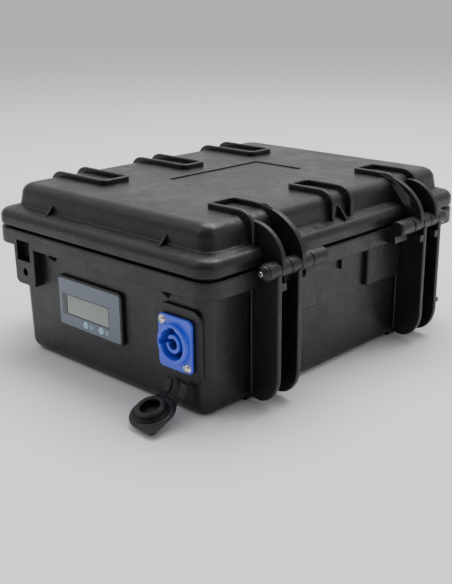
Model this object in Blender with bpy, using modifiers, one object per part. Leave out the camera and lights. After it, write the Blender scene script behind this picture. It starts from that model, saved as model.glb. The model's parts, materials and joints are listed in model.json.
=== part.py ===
"""Portable battery in a hinged plastic case.

Lengths are millimetres in this file and metres in the scene. The panel side faces -Y,
the hinge side +X and the latch side -X. The origin is the centre of the underside.
"""

import math

import bmesh
import bpy
from mathutils import Matrix, Vector

MM = 0.001
GAP = 0.3

# Case: the rim is where lid and base meet, and the walls stand inside it.
RIM = (-97.5, 97.5, -122.5, 122.5)
RIM_RADIUS = 12.0
RIM_BOTTOM = 71.0
RIM_TOP = 81.5
WALL = 3.0
BASE = (-79.5, 90.0, -117.0, 117.0)
BASE_FOOT = (-77.0, 89.0, -116.5, 116.5)
BASE_RADIUS = 9.0
BOTTOM_FILLET = 8.0
LID_BOTTOM = 83.0
CREASE = 94.5
LID_TOP = 108.5
LID_BODY = (-88.0, 88.0, -111.5, 114.0)
LID_RADIUS = 10.0
LID_FILLET = 7.5
RIB_TOP = 111.8
RIB_REACH = 3.3
CORNER_STEPS = 5

# Hinges, given for the +Y one and mirrored. Each is (from, to) along Y.
HINGE_X = 105.4
HINGE_Z = 82.0
KNUCKLE_RADIUS = 5.0
PIN_RADIUS = 1.5
BORE_RADIUS = 1.85
OUTER_FIN = (78.0, 81.4)
INNER_FIN = (61.0, 64.4)
BASE_KNUCKLES = ((78.0, 87.0), (61.0, 69.2), (37.0, 51.0))
LID_KNUCKLES = ((69.6, 77.6), (51.4, 60.6))
OUTER_ARM = (74.2, 77.6)
INNER_ARM = (57.2, 60.6)
OUTER_RIB = (77.6, 80.8)
FIN_EDGE = HINGE_X + KNUCKLE_RADIUS

# Panel side.
METER = Vector((-6.8, 43.1))
METER_SIZE = Vector((61.0, 33.0))
LCD_CENTRE = METER + Vector((-1.6, -1.2))
LCD_SIZE = Vector((39.4, 12.0))
BUTTONS = (METER + Vector((-3.7, -11.0)), METER + Vector((10.9, -11.0)))
METER_BODY = Vector((56.8, 28.4))
METER_WALL = 0.9
BUTTON_RADIUS = 2.0
SOCKET = Vector((70.7, 42.5))
FLANGE = Vector((26.0, 31.0))
SCREWS = ((61.2, 54.5), (80.2, 30.5))
FLANGE_FRONT = -121.5
BARREL_FRONT = -124.1
PANEL = BASE[2]

# Latches and handle on the -X side.
LATCH_Y = 71.2
LATCH_PIVOT = (-101.8, 88.5)
LATCH_HALF = 18.3
LATCH_RELEASED_DEG = 10.0
HANDLE_PIVOT = (-88.5, 61.0)
HANDLE_HALF = 44.0
HANDLE_EAR = (44.4, 48.4)
HANDLE_PIN_RADIUS = 2.0
HANDLE_BORE_RADIUS = 2.35

# Sealing cap: the strap roots are its hinge.
CAP_AXIS = (-119.9, 20.3)
CAP_RADIUS = 13.4
CAP_OPEN_DEG = 109.0

# Cells.
CELL = Vector((148.0, 40.0, 63.5))
CELL_COUNT = 4
CELL_PITCH = 40.6
CELL_START = Vector((6.0, -46.0, 6.6))

PARTS = None
CUTTERS = None


# ---------------------------------------------------------------- scene and materials


def clear_scene():
    for item in list(bpy.data.objects):
        bpy.data.objects.remove(item, do_unlink=True)


def new_collection(name):
    made = bpy.data.collections.new(name)
    bpy.context.scene.collection.children.link(made)
    return made


def material(name, colour, roughness=0.5, metallic=0.0):
    found = bpy.data.materials.get(name)
    if found:
        return found
    made = bpy.data.materials.new(name)
    made.use_nodes = True
    shader = made.node_tree.nodes["Principled BSDF"]
    shader.inputs["Base Color"].default_value = (*colour, 1.0)
    shader.inputs["Roughness"].default_value = roughness
    shader.inputs["Metallic"].default_value = metallic
    return made


def black_plastic():
    return material("black plastic", (0.018, 0.018, 0.020), 0.48)


def black_rubber():
    return material("black rubber", (0.028, 0.028, 0.030), 0.7)


def steel():
    return material("steel", (0.62, 0.62, 0.60), 0.3, 1.0)


def copper():
    return material("nickelled copper", (0.75, 0.62, 0.50), 0.3, 1.0)


def board_green():
    return material("circuit board", (0.02, 0.10, 0.05), 0.45)


# ---------------------------------------------------------------- shape helpers


def link(name, mesh, surface=None, collection=None):
    made = bpy.data.objects.new(name, mesh)
    (collection or PARTS).objects.link(made)
    if surface:
        mesh.materials.append(surface)
    if collection is not None and collection is not PARTS:
        made.hide_render = True
        made.display_type = "WIRE"
    return made


def mesh_from(name, bm):
    bmesh.ops.recalc_face_normals(bm, faces=bm.faces[:])
    mesh = bpy.data.meshes.new(name)
    bm.to_mesh(mesh)
    bm.free()
    return mesh


def box(name, low, high, surface=None, collection=None):
    """A box between two corners."""
    low, high = Vector(low) * MM, Vector(high) * MM
    bm = bmesh.new()
    bmesh.ops.create_cube(bm, size=1.0)
    size = high - low
    bmesh.ops.scale(bm, vec=size, verts=bm.verts[:])
    bmesh.ops.translate(bm, vec=(low + high) / 2, verts=bm.verts[:])
    return link(name, mesh_from(name, bm), surface, collection)


def turn_to(axis):
    """The rotation that lays +Z along this axis."""
    quarter = math.pi / 2
    turns = {
        "X": Matrix.Rotation(quarter, 4, "Y"),
        "Y": Matrix.Rotation(-quarter, 4, "X"),
        "Z": Matrix(),
    }
    return turns[axis]


def cylinder(name, start, axis, radius, length, surface=None, collection=None, sides=16, top=None):
    """A cylinder or cone from its start face along +axis."""
    bm = bmesh.new()
    far = radius if top is None else top
    bmesh.ops.create_cone(
        bm, cap_ends=True, segments=sides, radius1=radius * MM, radius2=far * MM, depth=length * MM
    )
    bmesh.ops.translate(bm, vec=(0, 0, length * MM / 2), verts=bm.verts[:])
    place = Matrix.Translation(Vector(start) * MM) @ turn_to(axis)
    bmesh.ops.transform(bm, matrix=place, verts=bm.verts[:])
    return link(name, mesh_from(name, bm), surface, collection)


def bore(name, start, radius, length, collection):
    """A round cutter along +Y."""
    return cylinder(name, start, "Y", radius, length, None, collection, sides=12)


def arc(centre, radius, start_deg, end_deg, steps):
    """Points on an arc; radius may be one number or a pair for an ellipse."""
    wide, high = radius if isinstance(radius, tuple) else (radius, radius)
    points = []
    for step in range(steps + 1):
        angle = math.radians(start_deg + (end_deg - start_deg) * step / steps)
        points.append((centre[0] + wide * math.cos(angle), centre[1] + high * math.sin(angle)))
    return points


def rounded_rectangle(rectangle, radius, steps=CORNER_STEPS):
    left, right, front, back = rectangle
    corners = (
        ((right - radius, back - radius), 0),
        ((left + radius, back - radius), 90),
        ((left + radius, front + radius), 180),
        ((right - radius, front + radius), 270),
    )
    points = []
    for centre, start in corners:
        points += arc(centre, radius, start, start + 90, steps)
    return points


def grown(rectangle, by):
    left, right, front, back = rectangle
    return (left - by, right + by, front - by, back + by)


def loft(name, sections, surface=None, collection=None, steps=CORNER_STEPS):
    """A closed skin through rounded rectangles, each (rectangle, corner radius, z)."""
    bm = bmesh.new()
    rings = []
    for rectangle, radius, z in sections:
        points = rounded_rectangle(rectangle, radius, steps)
        rings.append([bm.verts.new((x * MM, y * MM, z * MM)) for x, y in points])
    for low, high in zip(rings, rings[1:]):
        for index in range(len(low)):
            following = (index + 1) % len(low)
            bm.faces.new((low[index], low[following], high[following], high[index]))
    bm.faces.new(rings[0])
    bm.faces.new(rings[-1])
    return link(name, mesh_from(name, bm), surface, collection)


# Where the outline's own x and y, and the extrusion, go in the scene.
PLANES = {
    "XY": Matrix(((1, 0, 0), (0, 1, 0), (0, 0, 1))).to_4x4(),
    "XZ": Matrix(((1, 0, 0), (0, 0, -1), (0, 1, 0))).to_4x4(),
    "YZ": Matrix(((0, 0, 1), (1, 0, 0), (0, 1, 0))).to_4x4(),
}


def plate(name, outlines, plane, low, high, surface=None, collection=None):
    """Flat outlines (the first is the rim, the rest are holes) extruded from low to high."""
    curve = bpy.data.curves.new(name, "CURVE")
    curve.dimensions = "2D"
    curve.fill_mode = "BOTH"
    curve.extrude = (high - low) * MM / 2
    for outline in outlines:
        spline = curve.splines.new("POLY")
        spline.points.add(len(outline) - 1)
        for point, (x, y) in zip(spline.points, outline):
            point.co = (x * MM, y * MM, 0.0, 1.0)
        spline.use_cyclic_u = True
    source = bpy.data.objects.new(name, curve)
    bpy.context.scene.collection.objects.link(source)
    middle = (high + low) * MM / 2
    lift = {"XY": (0, 0, middle), "XZ": (0, middle, 0), "YZ": (middle, 0, 0)}[plane]
    place = Matrix.Translation(lift) @ PLANES[plane]
    mesh = solid_of(source, place)
    mesh.name = name
    return link(name, mesh, surface, collection)


def solid_of(source, place):
    """The mesh of a curve object, welded, in its place. The curve is removed."""
    bpy.context.view_layer.update()
    graph = bpy.context.evaluated_depsgraph_get()
    mesh = bpy.data.meshes.new_from_object(source.evaluated_get(graph))
    bpy.data.objects.remove(source, do_unlink=True)
    bm = bmesh.new()
    bm.from_mesh(mesh)
    bmesh.ops.remove_doubles(bm, verts=bm.verts[:], dist=0.00001)
    bmesh.ops.transform(bm, matrix=place, verts=bm.verts[:])
    bmesh.ops.recalc_face_normals(bm, faces=bm.faces[:])
    bm.to_mesh(mesh)
    bm.free()
    mesh.materials.clear()
    return mesh


def turned(name, profile, centre, surface, steps):
    """A solid turned about -Y: its profile is (radius, height), from the top down its outer side."""
    mesh = bpy.data.meshes.new(name)
    points = [(radius * MM, 0.0, height * MM) for radius, height in profile]
    mesh.from_pydata(points, [(n, n + 1) for n in range(len(points) - 1)], [])
    made = link(name, mesh, surface)
    screw = made.modifiers.new("turn", "SCREW")
    screw.steps = screw.render_steps = steps
    screw.use_merge_vertices = True
    screw.merge_threshold = 0.00001
    made.location = Vector(centre) * MM
    made.rotation_euler.x = math.pi / 2
    return made


def tube(name, points, radius, surface=None, resolution=1):
    """A round lead along hand-placed points, read from a smooth curve through them."""
    curve = bpy.data.curves.new(name, "CURVE")
    curve.dimensions = "3D"
    curve.bevel_depth = radius * MM
    curve.bevel_resolution = resolution
    curve.use_fill_caps = True
    smooth = smoothed(points)
    spline = curve.splines.new("POLY")
    spline.points.add(len(smooth) - 1)
    for point, place in zip(spline.points, smooth):
        point.co = (*(Vector(place) * MM), 1.0)
    source = bpy.data.objects.new(name, curve)
    bpy.context.scene.collection.objects.link(source)
    mesh = solid_of(source, Matrix())
    mesh.name = name
    return link(name, mesh, surface)


def smoothed(points, parts=4):
    """Points on a Catmull-Rom curve through the given ones."""
    ends = [Vector(point) for point in points]
    ends = [2 * ends[0] - ends[1]] + ends + [2 * ends[-1] - ends[-2]]
    made = []
    for before, start, end, after in zip(ends, ends[1:], ends[2:], ends[3:]):
        for step in range(parts):
            t = step / parts
            square = 2 * before - 5 * start + 4 * end - after
            cube = 3 * start - before - 3 * end + after
            made.append(0.5 * (2 * start + (end - before) * t + square * t**2 + cube * t**3))
    made.append(ends[-2])
    return made


def boolean(target, other, operation):
    """Joins or cuts with one object, or with a collection of them."""
    modifier = target.modifiers.new(operation.lower(), "BOOLEAN")
    modifier.operation = operation
    modifier.solver = "EXACT"
    if isinstance(other, bpy.types.Collection):
        modifier.operand_type = "COLLECTION"
        modifier.collection = other
    else:
        modifier.object = other
    return modifier


def helpers(name):
    """A collection of cutters or of shapes that one part absorbs."""
    made = bpy.data.collections.new(name)
    CUTTERS.children.link(made)
    made.hide_render = True
    return made


def smooth(item, angle=35.0):
    item.data.shade_smooth()
    item.data.set_sharp_from_angle(angle=math.radians(angle))


def mirrored(span, side):
    """A (from, to) span along Y on the +Y or the -Y side."""
    low, high = span[0] * side, span[1] * side
    return min(low, high), max(low, high)


# ---------------------------------------------------------------- the base shell


def fillet_sections(rectangle, foot, radius, fillet, steps=4):
    """Sections that round a foot into a wall, from the bottom up."""
    made = []
    for step in range(steps + 1):
        angle = math.radians(90.0 * step / steps)
        inset = fillet * (1 - math.sin(angle))
        corner = max(radius - inset, 1.5)
        made.append((grown(foot, -inset), corner, fillet * (1 - math.cos(angle))))
    made.append((rectangle, radius, RIM_BOTTOM))
    return made


def base_skin():
    """Outside from the floor to the rim, then down the inside."""
    outside = fillet_sections(BASE, BASE_FOOT, BASE_RADIUS, BOTTOM_FILLET)
    rim = [(RIM, RIM_RADIUS, RIM_BOTTOM), (RIM, RIM_RADIUS, RIM_TOP)]
    groove = []
    for inset, z in ((3.2, RIM_TOP), (3.2, RIM_TOP - 1.8), (6.4, RIM_TOP - 1.8), (6.4, RIM_TOP)):
        groove.append((grown(RIM, -inset), RIM_RADIUS - inset, z))
    inner = grown(BASE, -WALL)
    inner_foot = grown(BASE_FOOT, -WALL)
    inside = [(inner, BASE_RADIUS - WALL, RIM_TOP)]
    for rectangle, corner, z in reversed(fillet_sections(inner, inner_foot, BASE_RADIUS - WALL, 5.0, 3)[:-1]):
        inside.append((rectangle, corner, z + WALL))
    return loft("base_shell", outside + rim + groove + inside, black_plastic())


def knuckle(side, span, collection):
    low, high = mirrored(span, side)
    name = f"knuckle_{collection.name}_{low:.0f}"
    return cylinder(name, (HINGE_X, low, HINGE_Z), "Y", KNUCKLE_RADIUS, high - low, None, collection)


def fin_outline():
    """The tall hinge fin: straight outer edge, round lower corner, knuckle at the top."""
    corner = (14.4, 18.0)
    lower = arc((FIN_EDGE - corner[0], 3.1 + corner[1]), corner, 0, -90, 6)
    head = [(88.3, 72.0), (96.4, 72.0), (96.4, 80.5), (HINGE_X, 80.5), (FIN_EDGE, 80.0)]
    return head + lower + [(88.6, 4.0), (88.3, 12.0)]


def base_additions():
    """Everything moulded onto the base."""
    add = helpers("base_added")
    for side in (-1, 1):
        for span in (OUTER_FIN, INNER_FIN):
            low, high = mirrored(span, side)
            plate(f"fin_{low:.0f}", [fin_outline()], "XZ", low, high, None, add)
            inner = min(span) - 4.0
            low, high = mirrored((inner, min(span) + 1.0), side)
            box(f"peg_{low:.0f}", (FIN_EDGE - 4.5, low, 70.5), (FIN_EDGE - 0.2, high, 75.0), None, add)
        for span in BASE_KNUCKLES:
            knuckle(side, span, add)
        outer, tip = BASE_KNUCKLES[0][1], BASE_KNUCKLES[0][1] + 3.2
        low, high = mirrored((outer - 0.5, tip), side)
        wide, narrow = (3.6, 4.5) if side < 0 else (4.5, 3.6)
        cylinder(f"dome_{side}", (HINGE_X, low, HINGE_Z), "Y", wide, high - low, None, add, top=narrow)
        for span in BASE_KNUCKLES:
            low, high = mirrored(span, side)
            box(f"bridge_{low:.0f}", (96.0, low + 0.1, 72.4), (HINGE_X - 1.0, high - 0.1, 80.6), None, add)
        low, high = mirrored((25.0, 61.2), side)
        box(f"pad_{side}", (88.4, low, 45.0), (93.4, high, RIM_BOTTOM + 1.0), None, add)
        low, high = mirrored((INNER_FIN[0], OUTER_FIN[1]), side)
        foot = [(78.0, 0.0), (85.4, 0.0)] + arc((85.4, 2.0), 2.0, -90, 0, 3) + [(87.4, 3.0), (78.0, 2.0)]
        plate(f"foot_{side}", [foot], "XZ", low - 0.1, high + 0.1, None, add)
        low, high = mirrored(HANDLE_EAR, side)
        ear = arc(HANDLE_PIVOT, 5.5, 90, 270, 8) + [(-78.0, 52.0), (-78.0, 70.0)]
        plate(f"ear_{side}", [ear], "XZ", low, high, None, add)
        bracket(side, add)
    for x in (-42.0, 61.5):
        for side in (-1, 1):
            gusset_on_panel(f"gusset_{x:.0f}_{side}", x, side, add)
    box("hinge_gusset", (88.4, -1.0, 62.0), (92.0, 1.0, RIM_BOTTOM + 1.0), None, add)
    box("far_peg", (FIN_EDGE - 3.2, 81.0, 24.0), (FIN_EDGE - 0.4, 84.4, 27.0), None, add)
    return add


def bracket(side, add):
    """The corner block under the rim, with its rounded lower corners."""
    outline = [(-56.0, RIM_BOTTOM + 2.0), (-77.6, RIM_BOTTOM + 2.0), (-77.0, 52.0)]
    outline += arc((-73.0, 50.8), 4.2, 200, 270, 3) + arc((-59.0, 49.4), 3.0, 270, 360, 3)
    low, high = mirrored((BASE[3] - 1.8, RIM[3] - 0.02), side)
    plate(f"bracket_{side}", [outline], "XZ", low, high, None, add)


def gusset_on_panel(name, x, side, add):
    """A small triangular rib between a panel wall and the rim above it."""
    wall, tip = side * (BASE[3] - 1.0), side * (RIM[3] - 0.6)
    outline = [(wall, RIM_BOTTOM + 1.0), (tip, RIM_BOTTOM + 1.0), (tip, RIM_BOTTOM - 0.6), (wall, 64.5)]
    plate(name, [outline], "YZ", x - 0.9, x + 0.9, None, add)


def base_cuts():
    """Bores, the latch lip, the corner pockets and the panel openings."""
    cut = helpers("base_cut")
    for side in (-1, 1):
        low, high = mirrored((38.4, 92.0), side)
        bore(f"hinge_bore_{side}", (HINGE_X, low, HINGE_Z), BORE_RADIUS, high - low, cut)
        low, high = mirrored((HANDLE_EAR[0] - 1.0, HANDLE_EAR[1] + 1.0), side)
        start = (HANDLE_PIVOT[0], low, HANDLE_PIVOT[1])
        bore(f"ear_bore_{side}", start, HANDLE_BORE_RADIUS, high - low, cut)
        low, high = mirrored((BASE[3] + 0.4, RIM[3] + 1.0), side)
        box(f"pocket_{side}", (-73.8, low, 62.3), (-60.2, high, 75.4), None, cut)
        cylinder(f"hole_{side}", (-66.1, low, 55.2), "Y", 2.5, high - low, None, cut, sides=14)
    box("latch_lip", (RIM[0] - 1.0, -112.0, RIM_BOTTOM - 1.0), (-92.5, 112.0, 76.5), None, cut)
    low, high = PANEL - 3.0, PANEL + 6.0
    half = METER_BODY / 2 + Vector((GAP, GAP))
    corner, far_corner = METER - half, METER + half
    box("meter_opening", (corner.x, low, corner.y), (far_corner.x, high, far_corner.y), None, cut)
    cylinder("socket_opening", (SOCKET.x, low, SOCKET.y), "Y", 11.9, high - low, None, cut, sides=28)
    for index, (x, z) in enumerate(SCREWS):
        cylinder(f"screw_opening_{index}", (x, low, z), "Y", 1.95, high - low, None, cut, sides=12)
    return cut


def make_base():
    base = base_skin()
    boolean(base, base_additions(), "UNION")
    boolean(base, base_cuts(), "DIFFERENCE")
    smooth(base)
    return base


# ---------------------------------------------------------------- the lid shell


def lid_skin():
    """Down the inside from the ceiling, round the flange and up to the top."""
    inner = grown(LID_BODY, -WALL)
    ceiling = LID_TOP - WALL
    inside = [
        (grown(inner, -5.0), 3.0, ceiling),
        (grown(inner, -1.5), 5.5, ceiling - 1.5),
        (inner, LID_RADIUS - WALL, ceiling - 5.0),
        (inner, LID_RADIUS - WALL, LID_BOTTOM),
    ]
    flange = [
        (grown(RIM, -1.0), RIM_RADIUS - 1.0, LID_BOTTOM),
        (RIM, RIM_RADIUS, LID_BOTTOM + 1.2),
        (RIM, RIM_RADIUS, 88.8),
        (grown(RIM, -0.9), RIM_RADIUS - 0.9, 91.2),
        (grown(RIM, -3.4), RIM_RADIUS - 3.4, 93.0),
        (LID_BODY, LID_RADIUS, CREASE),
    ]
    body = []
    for step in range(5):
        angle = math.radians(90.0 * step / 4)
        inset = 0.6 + LID_FILLET * (1 - math.cos(angle))
        corner = LID_RADIUS - inset * 0.8
        body.append((grown(LID_BODY, -inset), corner, LID_TOP - LID_FILLET * (1 - math.sin(angle))))
    return loft("lid_shell", inside + flange + body, black_plastic())


def rib_outline(inner_x, sign):
    """A rib that runs along the top, bends over the edge and ends on the flange."""
    side = LID_BODY[1] + RIB_REACH if sign > 0 else -(LID_BODY[0] - RIB_REACH)
    bend = arc((side - 10.5, RIB_TOP - 10.5), 10.5, 90, 0, 5)
    outer = [(inner_x, RIB_TOP - 4.0), (inner_x, RIB_TOP)] + bend + [(side, CREASE - 1.6)]
    inner = [(side - 5.2, CREASE - 1.6), (side - 5.2, 101.0), (side - 9.0, 106.6), (inner_x + 1.0, 106.6)]
    return [(x * sign, z) for x, z in outer + inner]


def arm_outline(top_z, start_x):
    """The web that reaches from the lid's side to the hinge knuckle."""
    tip = FIN_EDGE - 0.2
    root = [(86.4, CREASE - 1.0), (86.4, min(top_z, 106.6)), (start_x, top_z)]
    edge = arc((start_x, HINGE_Z + 2.0), (tip - start_x, top_z - HINGE_Z - 2.0), 90, 8, 8)
    heel = [(tip, HINGE_Z), (HINGE_X, HINGE_Z), (HINGE_X - 4.0, 84.4), (96.0, 84.4), (96.0, 92.0)]
    return root + edge[1:] + heel


def add_rib_pair(name, centre, half, width, inner_x, sign, add):
    """Two ribs and the closed end that joins them on the lid's top."""
    for leg in (-1, 1):
        middle = centre + leg * (half - width / 2)
        low, high = middle - width / 2, middle + width / 2
        plate(f"{name}_{leg}", [rib_outline(inner_x, sign)], "XZ", low, high, None, add)
    near, far = sorted((inner_x * sign, (inner_x + 3.4) * sign))
    low, high = centre - half + 0.4, centre + half - 0.4
    box(f"{name}_end", (near + 0.01, low, 106.8), (far, high, RIB_TOP - 0.01), None, add)


def lid_additions():
    add = helpers("lid_added")
    centre = (INNER_ARM[0] + OUTER_RIB[1]) / 2
    half = (OUTER_RIB[1] - INNER_ARM[0]) / 2
    for sign, inner_x in ((1, 54.0), (-1, 35.0)):
        for middle in (-centre, 0.0, centre):
            width = 3.2 if middle else 3.0
            reach = half if middle else 10.5
            add_rib_pair(f"rib_{sign}_{middle:.0f}", middle, reach, width, inner_x, sign, add)
    for side in (-1, 1):
        low, high = mirrored(INNER_ARM, side)
        plate(f"inner_arm_{side}", [arm_outline(RIB_TOP, 71.0)], "XZ", low, high, None, add)
        low, high = mirrored(OUTER_ARM, side)
        plate(f"outer_arm_{side}", [arm_outline(106.2, 87.5)], "XZ", low, high, None, add)
        for span in LID_KNUCKLES:
            knuckle(side, span, add)
        for edge in (-1, 1):
            low = side * LATCH_Y + edge * (LATCH_HALF + 1.9) - 1.5
            ear = arc(LATCH_PIVOT, 4.2, 100, 260, 7) + [(-96.0, 84.6), (-96.0, 92.5)]
            plate(f"latch_ear_{side}_{edge}", [ear], "XZ", low, low + 3.0, None, add)
    for x in (-48.0, 55.0):
        for side, wall in ((-1, LID_BODY[2]), (1, LID_BODY[3])):
            tip = wall + side * 6.4
            outline = [(wall - side * 2.0, 92.0), (tip, 92.0), (tip, CREASE - 0.4)]
            outline += [(wall, 101.6), (wall - side * 2.0, 101.6)]
            plate(f"lid_gusset_{x:.0f}_{side}", [outline], "YZ", x - 0.9, x + 0.9, None, add)
    for sign in (-1, 1):
        outline = [(86.0, 92.0), (94.0, 92.0), (94.0, CREASE - 0.4), (88.4, 101.0), (86.0, 101.0)]
        outline = [(x * sign, z) for x, z in outline]
        plate(f"side_gusset_{sign}", [outline], "XZ", -0.9, 0.9, None, add)
    return add


def lid_cuts():
    cut = helpers("lid_cut")
    for side in (-1, 1):
        low, high = mirrored((38.4, 92.0), side)
        bore(f"lid_bore_{side}", (HINGE_X, low, HINGE_Z), BORE_RADIUS, high - low, cut)
        start = (LATCH_PIVOT[0], side * LATCH_Y - 24.0, LATCH_PIVOT[1])
        bore(f"latch_bore_{side}", start, BORE_RADIUS, 48.0, cut)
    box("label_recess", (-21.0, -38.5, LID_TOP - 0.7), (21.0, 46.5, LID_TOP + 5.0), None, cut)
    return cut


def make_lid():
    lid = lid_skin()
    boolean(lid, lid_additions(), "UNION")
    boolean(lid, lid_cuts(), "DIFFERENCE")
    smooth(lid)
    return lid


def make_seal():
    """The ring that stands in the rim's groove and meets the lid."""
    low, high = RIM_TOP - 1.5, LID_BOTTOM - GAP
    outer, inner = grown(RIM, -3.5), grown(RIM, -6.1)
    outlines = [rounded_rectangle(outer, RIM_RADIUS - 3.5), rounded_rectangle(inner, RIM_RADIUS - 6.1)]
    return plate("lid_seal", outlines, "XY", low, high, black_rubber())


def make_hinge_pins():
    for side, name in ((-1, "hinge_pin_front"), (1, "hinge_pin_rear")):
        low, high = mirrored((38.8, 90.5), side)
        smooth(cylinder(name, (HINGE_X, low, HINGE_Z), "Y", PIN_RADIUS, high - low, steel(), sides=12))


# ---------------------------------------------------------------- latches and handle


def latch_outline():
    """The latch in profile, closed: barrel, plate, hook and turned-out finger lip."""
    x, z = LATCH_PIVOT
    barrel = arc((x, z), 3.6, 60, 210, 8)
    face = [(x - 3.6, z - 6.0), (x - 3.6, 56.0)]
    lip = arc((x - 7.8, 56.0), 4.2, 0, -60, 4)[1:]
    finger = [(x - 9.6, 47.6), (x - 7.6, 45.6)] + arc((x - 7.8, 56.0), 7.4, -52, 0, 4)
    hook = [(x - 0.4, 72.2), (-97.2, 72.2), (-96.0, 73.6), (-96.0, 76.1), (-97.4, 76.1)]
    hook += [(x + 1.0, 75.0), (x + 1.0, z - 3.4)]
    return barrel + face + lip + finger + hook


def pivot_empty(name, x, y, z):
    made = bpy.data.objects.new(name, None)
    PARTS.objects.link(made)
    made.location = Vector((x, y, z)) * MM
    return made


def hang_on(item, pivot):
    """Hands a part that was modelled in place to its pivot, which then turns it."""
    item.data.transform(Matrix.Translation(-pivot.location))
    item.parent = pivot


def make_latches():
    for side, name in ((-1, "latch_front"), (1, "latch_rear")):
        middle = side * LATCH_Y
        low, high = middle - LATCH_HALF, middle + LATCH_HALF
        latch = plate(name, [latch_outline()], "XZ", low, high, black_plastic())
        start = (LATCH_PIVOT[0], middle - 20.0, LATCH_PIVOT[1])
        hole = bore(f"{name}_bore", start, BORE_RADIUS, 40.0, helpers(f"{name}_cut"))
        pivot = pivot_empty(f"{name}_pivot", LATCH_PIVOT[0], middle, LATCH_PIVOT[1])
        pivot.rotation_euler.y = math.radians(LATCH_RELEASED_DEG)
        hang_on(latch, pivot)
        hang_on(hole, pivot)
        boolean(latch, hole, "DIFFERENCE")
        smooth(latch)
        pin_name = name.replace("latch", "latch_pin")
        start = (LATCH_PIVOT[0], middle - 21.6, LATCH_PIVOT[1])
        smooth(cylinder(pin_name, start, "Y", PIN_RADIUS, 43.2, steel(), sides=12))


def handle_outline():
    """The hanging handle seen from the latch side, as (y, z)."""
    half, inner = HANDLE_HALF, HANDLE_HALF - 8.0
    top, bottom = HANDLE_PIVOT[1] + 4.6, 22.0
    outer = arc((-half + 12.0, bottom + 12.0), 12.0, 180, 270, 4)
    outer += arc((half - 12.0, bottom + 12.0), 12.0, 270, 360, 4)
    hollow = arc((inner - 6.0, bottom + 16.0), 6.0, 360, 270, 3)
    hollow += arc((-inner + 6.0, bottom + 16.0), 6.0, 270, 180, 3)
    return [(-half, top)] + outer + [(half, top), (inner, top)] + hollow + [(-inner, top)]


def make_handle():
    x, z = HANDLE_PIVOT
    handle = plate("carry_handle", [handle_outline()], "YZ", x - 4.4, x + 4.4, black_plastic())
    cuts = helpers("handle_cut")
    bore("handle_bore", (x, -50.0, z), HANDLE_BORE_RADIUS, 100.0, cuts)
    bevel = handle.modifiers.new("soft edges", "BEVEL")
    bevel.width = 1.8 * MM
    bevel.segments = 2
    bevel.limit_method = "ANGLE"
    boolean(handle, cuts, "DIFFERENCE")
    smooth(handle)
    for side, name in ((-1, "handle_pin_front"), (1, "handle_pin_rear")):
        low, high = mirrored((36.8, 49.4), side)
        smooth(cylinder(name, (x, low, z), "Y", HANDLE_PIN_RADIUS, high - low, steel(), sides=12))


# ---------------------------------------------------------------- the meter


def panel_rectangle(centre, size):
    half = size / 2
    return (centre.x - half.x, centre.x + half.x, centre.y - half.y, centre.y + half.y)


def panel_plate(name, centre, size, radius, front, back, surface, holes=()):
    outlines = [rounded_rectangle(panel_rectangle(centre, size), radius, 4)] + list(holes)
    return plate(name, outlines, "XZ", front, back, surface)


def make_meter():
    front = PANEL - GAP
    lcd_hole = rounded_rectangle(panel_rectangle(LCD_CENTRE, LCD_SIZE + Vector((0.8, 0.8))), 0.8, 2)
    button_holes = [arc(place, BUTTON_RADIUS + 0.35, 0, 345, 15) for place in BUTTONS]
    holes = [lcd_hole] + button_holes
    bezel = panel_plate("meter_bezel", METER, METER_SIZE, 3.0, front - 2.0, front, black_plastic(), holes)
    parts = helpers("bezel_added")
    skirt = [rounded_rectangle(panel_rectangle(METER, METER_BODY), 1.0, 2),
             rounded_rectangle(grown(panel_rectangle(METER, METER_BODY), -METER_WALL), 0.6, 2)]
    plate("skirt", skirt, "XZ", front - 0.5, front + 11.0, None, parts)
    boolean(bezel, parts, "UNION")
    recess = helpers("bezel_cut")
    pocket = rounded_rectangle(panel_rectangle(METER, METER_SIZE - Vector((1.8, 1.8))), 2.2, 4)
    plate("overlay_pocket", [pocket], "XZ", front - 3.0, front - 1.3, None, recess)
    boolean(bezel, recess, "DIFFERENCE")
    overlay = material("printed overlay", (0.16, 0.19, 0.25), 0.35)
    sheet = METER_SIZE - Vector((2.4, 2.4))
    panel_plate("meter_overlay", METER, sheet, 1.9, front - 2.0, front - 1.6, overlay, holes)
    glass = material("lcd glass", (0.26, 0.30, 0.27), 0.15)
    panel_plate("meter_lcd", LCD_CENTRE, LCD_SIZE, 0.4, front - 1.8, front + 2.4, glass)
    cap_blue = material("button blue", (0.32, 0.50, 0.65), 0.4)
    for place, name in zip(BUTTONS, ("meter_button_left", "meter_button_right")):
        button = cylinder(name, (place.x, front - 2.4, place.y), "Y", BUTTON_RADIUS, 4.2, cap_blue, sides=16)
        smooth(button)
    board = METER_BODY - Vector((2.7, 2.7))
    panel_plate("meter_board", METER, board, 0.5, front + 4.4, front + 6.0, board_green())
    switch = Vector((3.4, 3.4))
    for place, name in zip(BUTTONS, ("left", "right")):
        low, high = place - switch / 2, place + switch / 2
        box(f"meter_switch_{name}", (low.x, front + 2.5, low.y), (high.x, front + 4.1, high.y),
            black_plastic())
    lead_slot = panel_rectangle(METER + Vector((14.0, 0.0)), Vector((9.0, 5.0)))
    panel_plate("meter_rear_cover", METER, METER_BODY, 1.0, front + 11.3, front + 13.0,
                black_plastic(), [rounded_rectangle(lead_slot, 0.6, 1)])


# ---------------------------------------------------------------- the power socket


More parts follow.
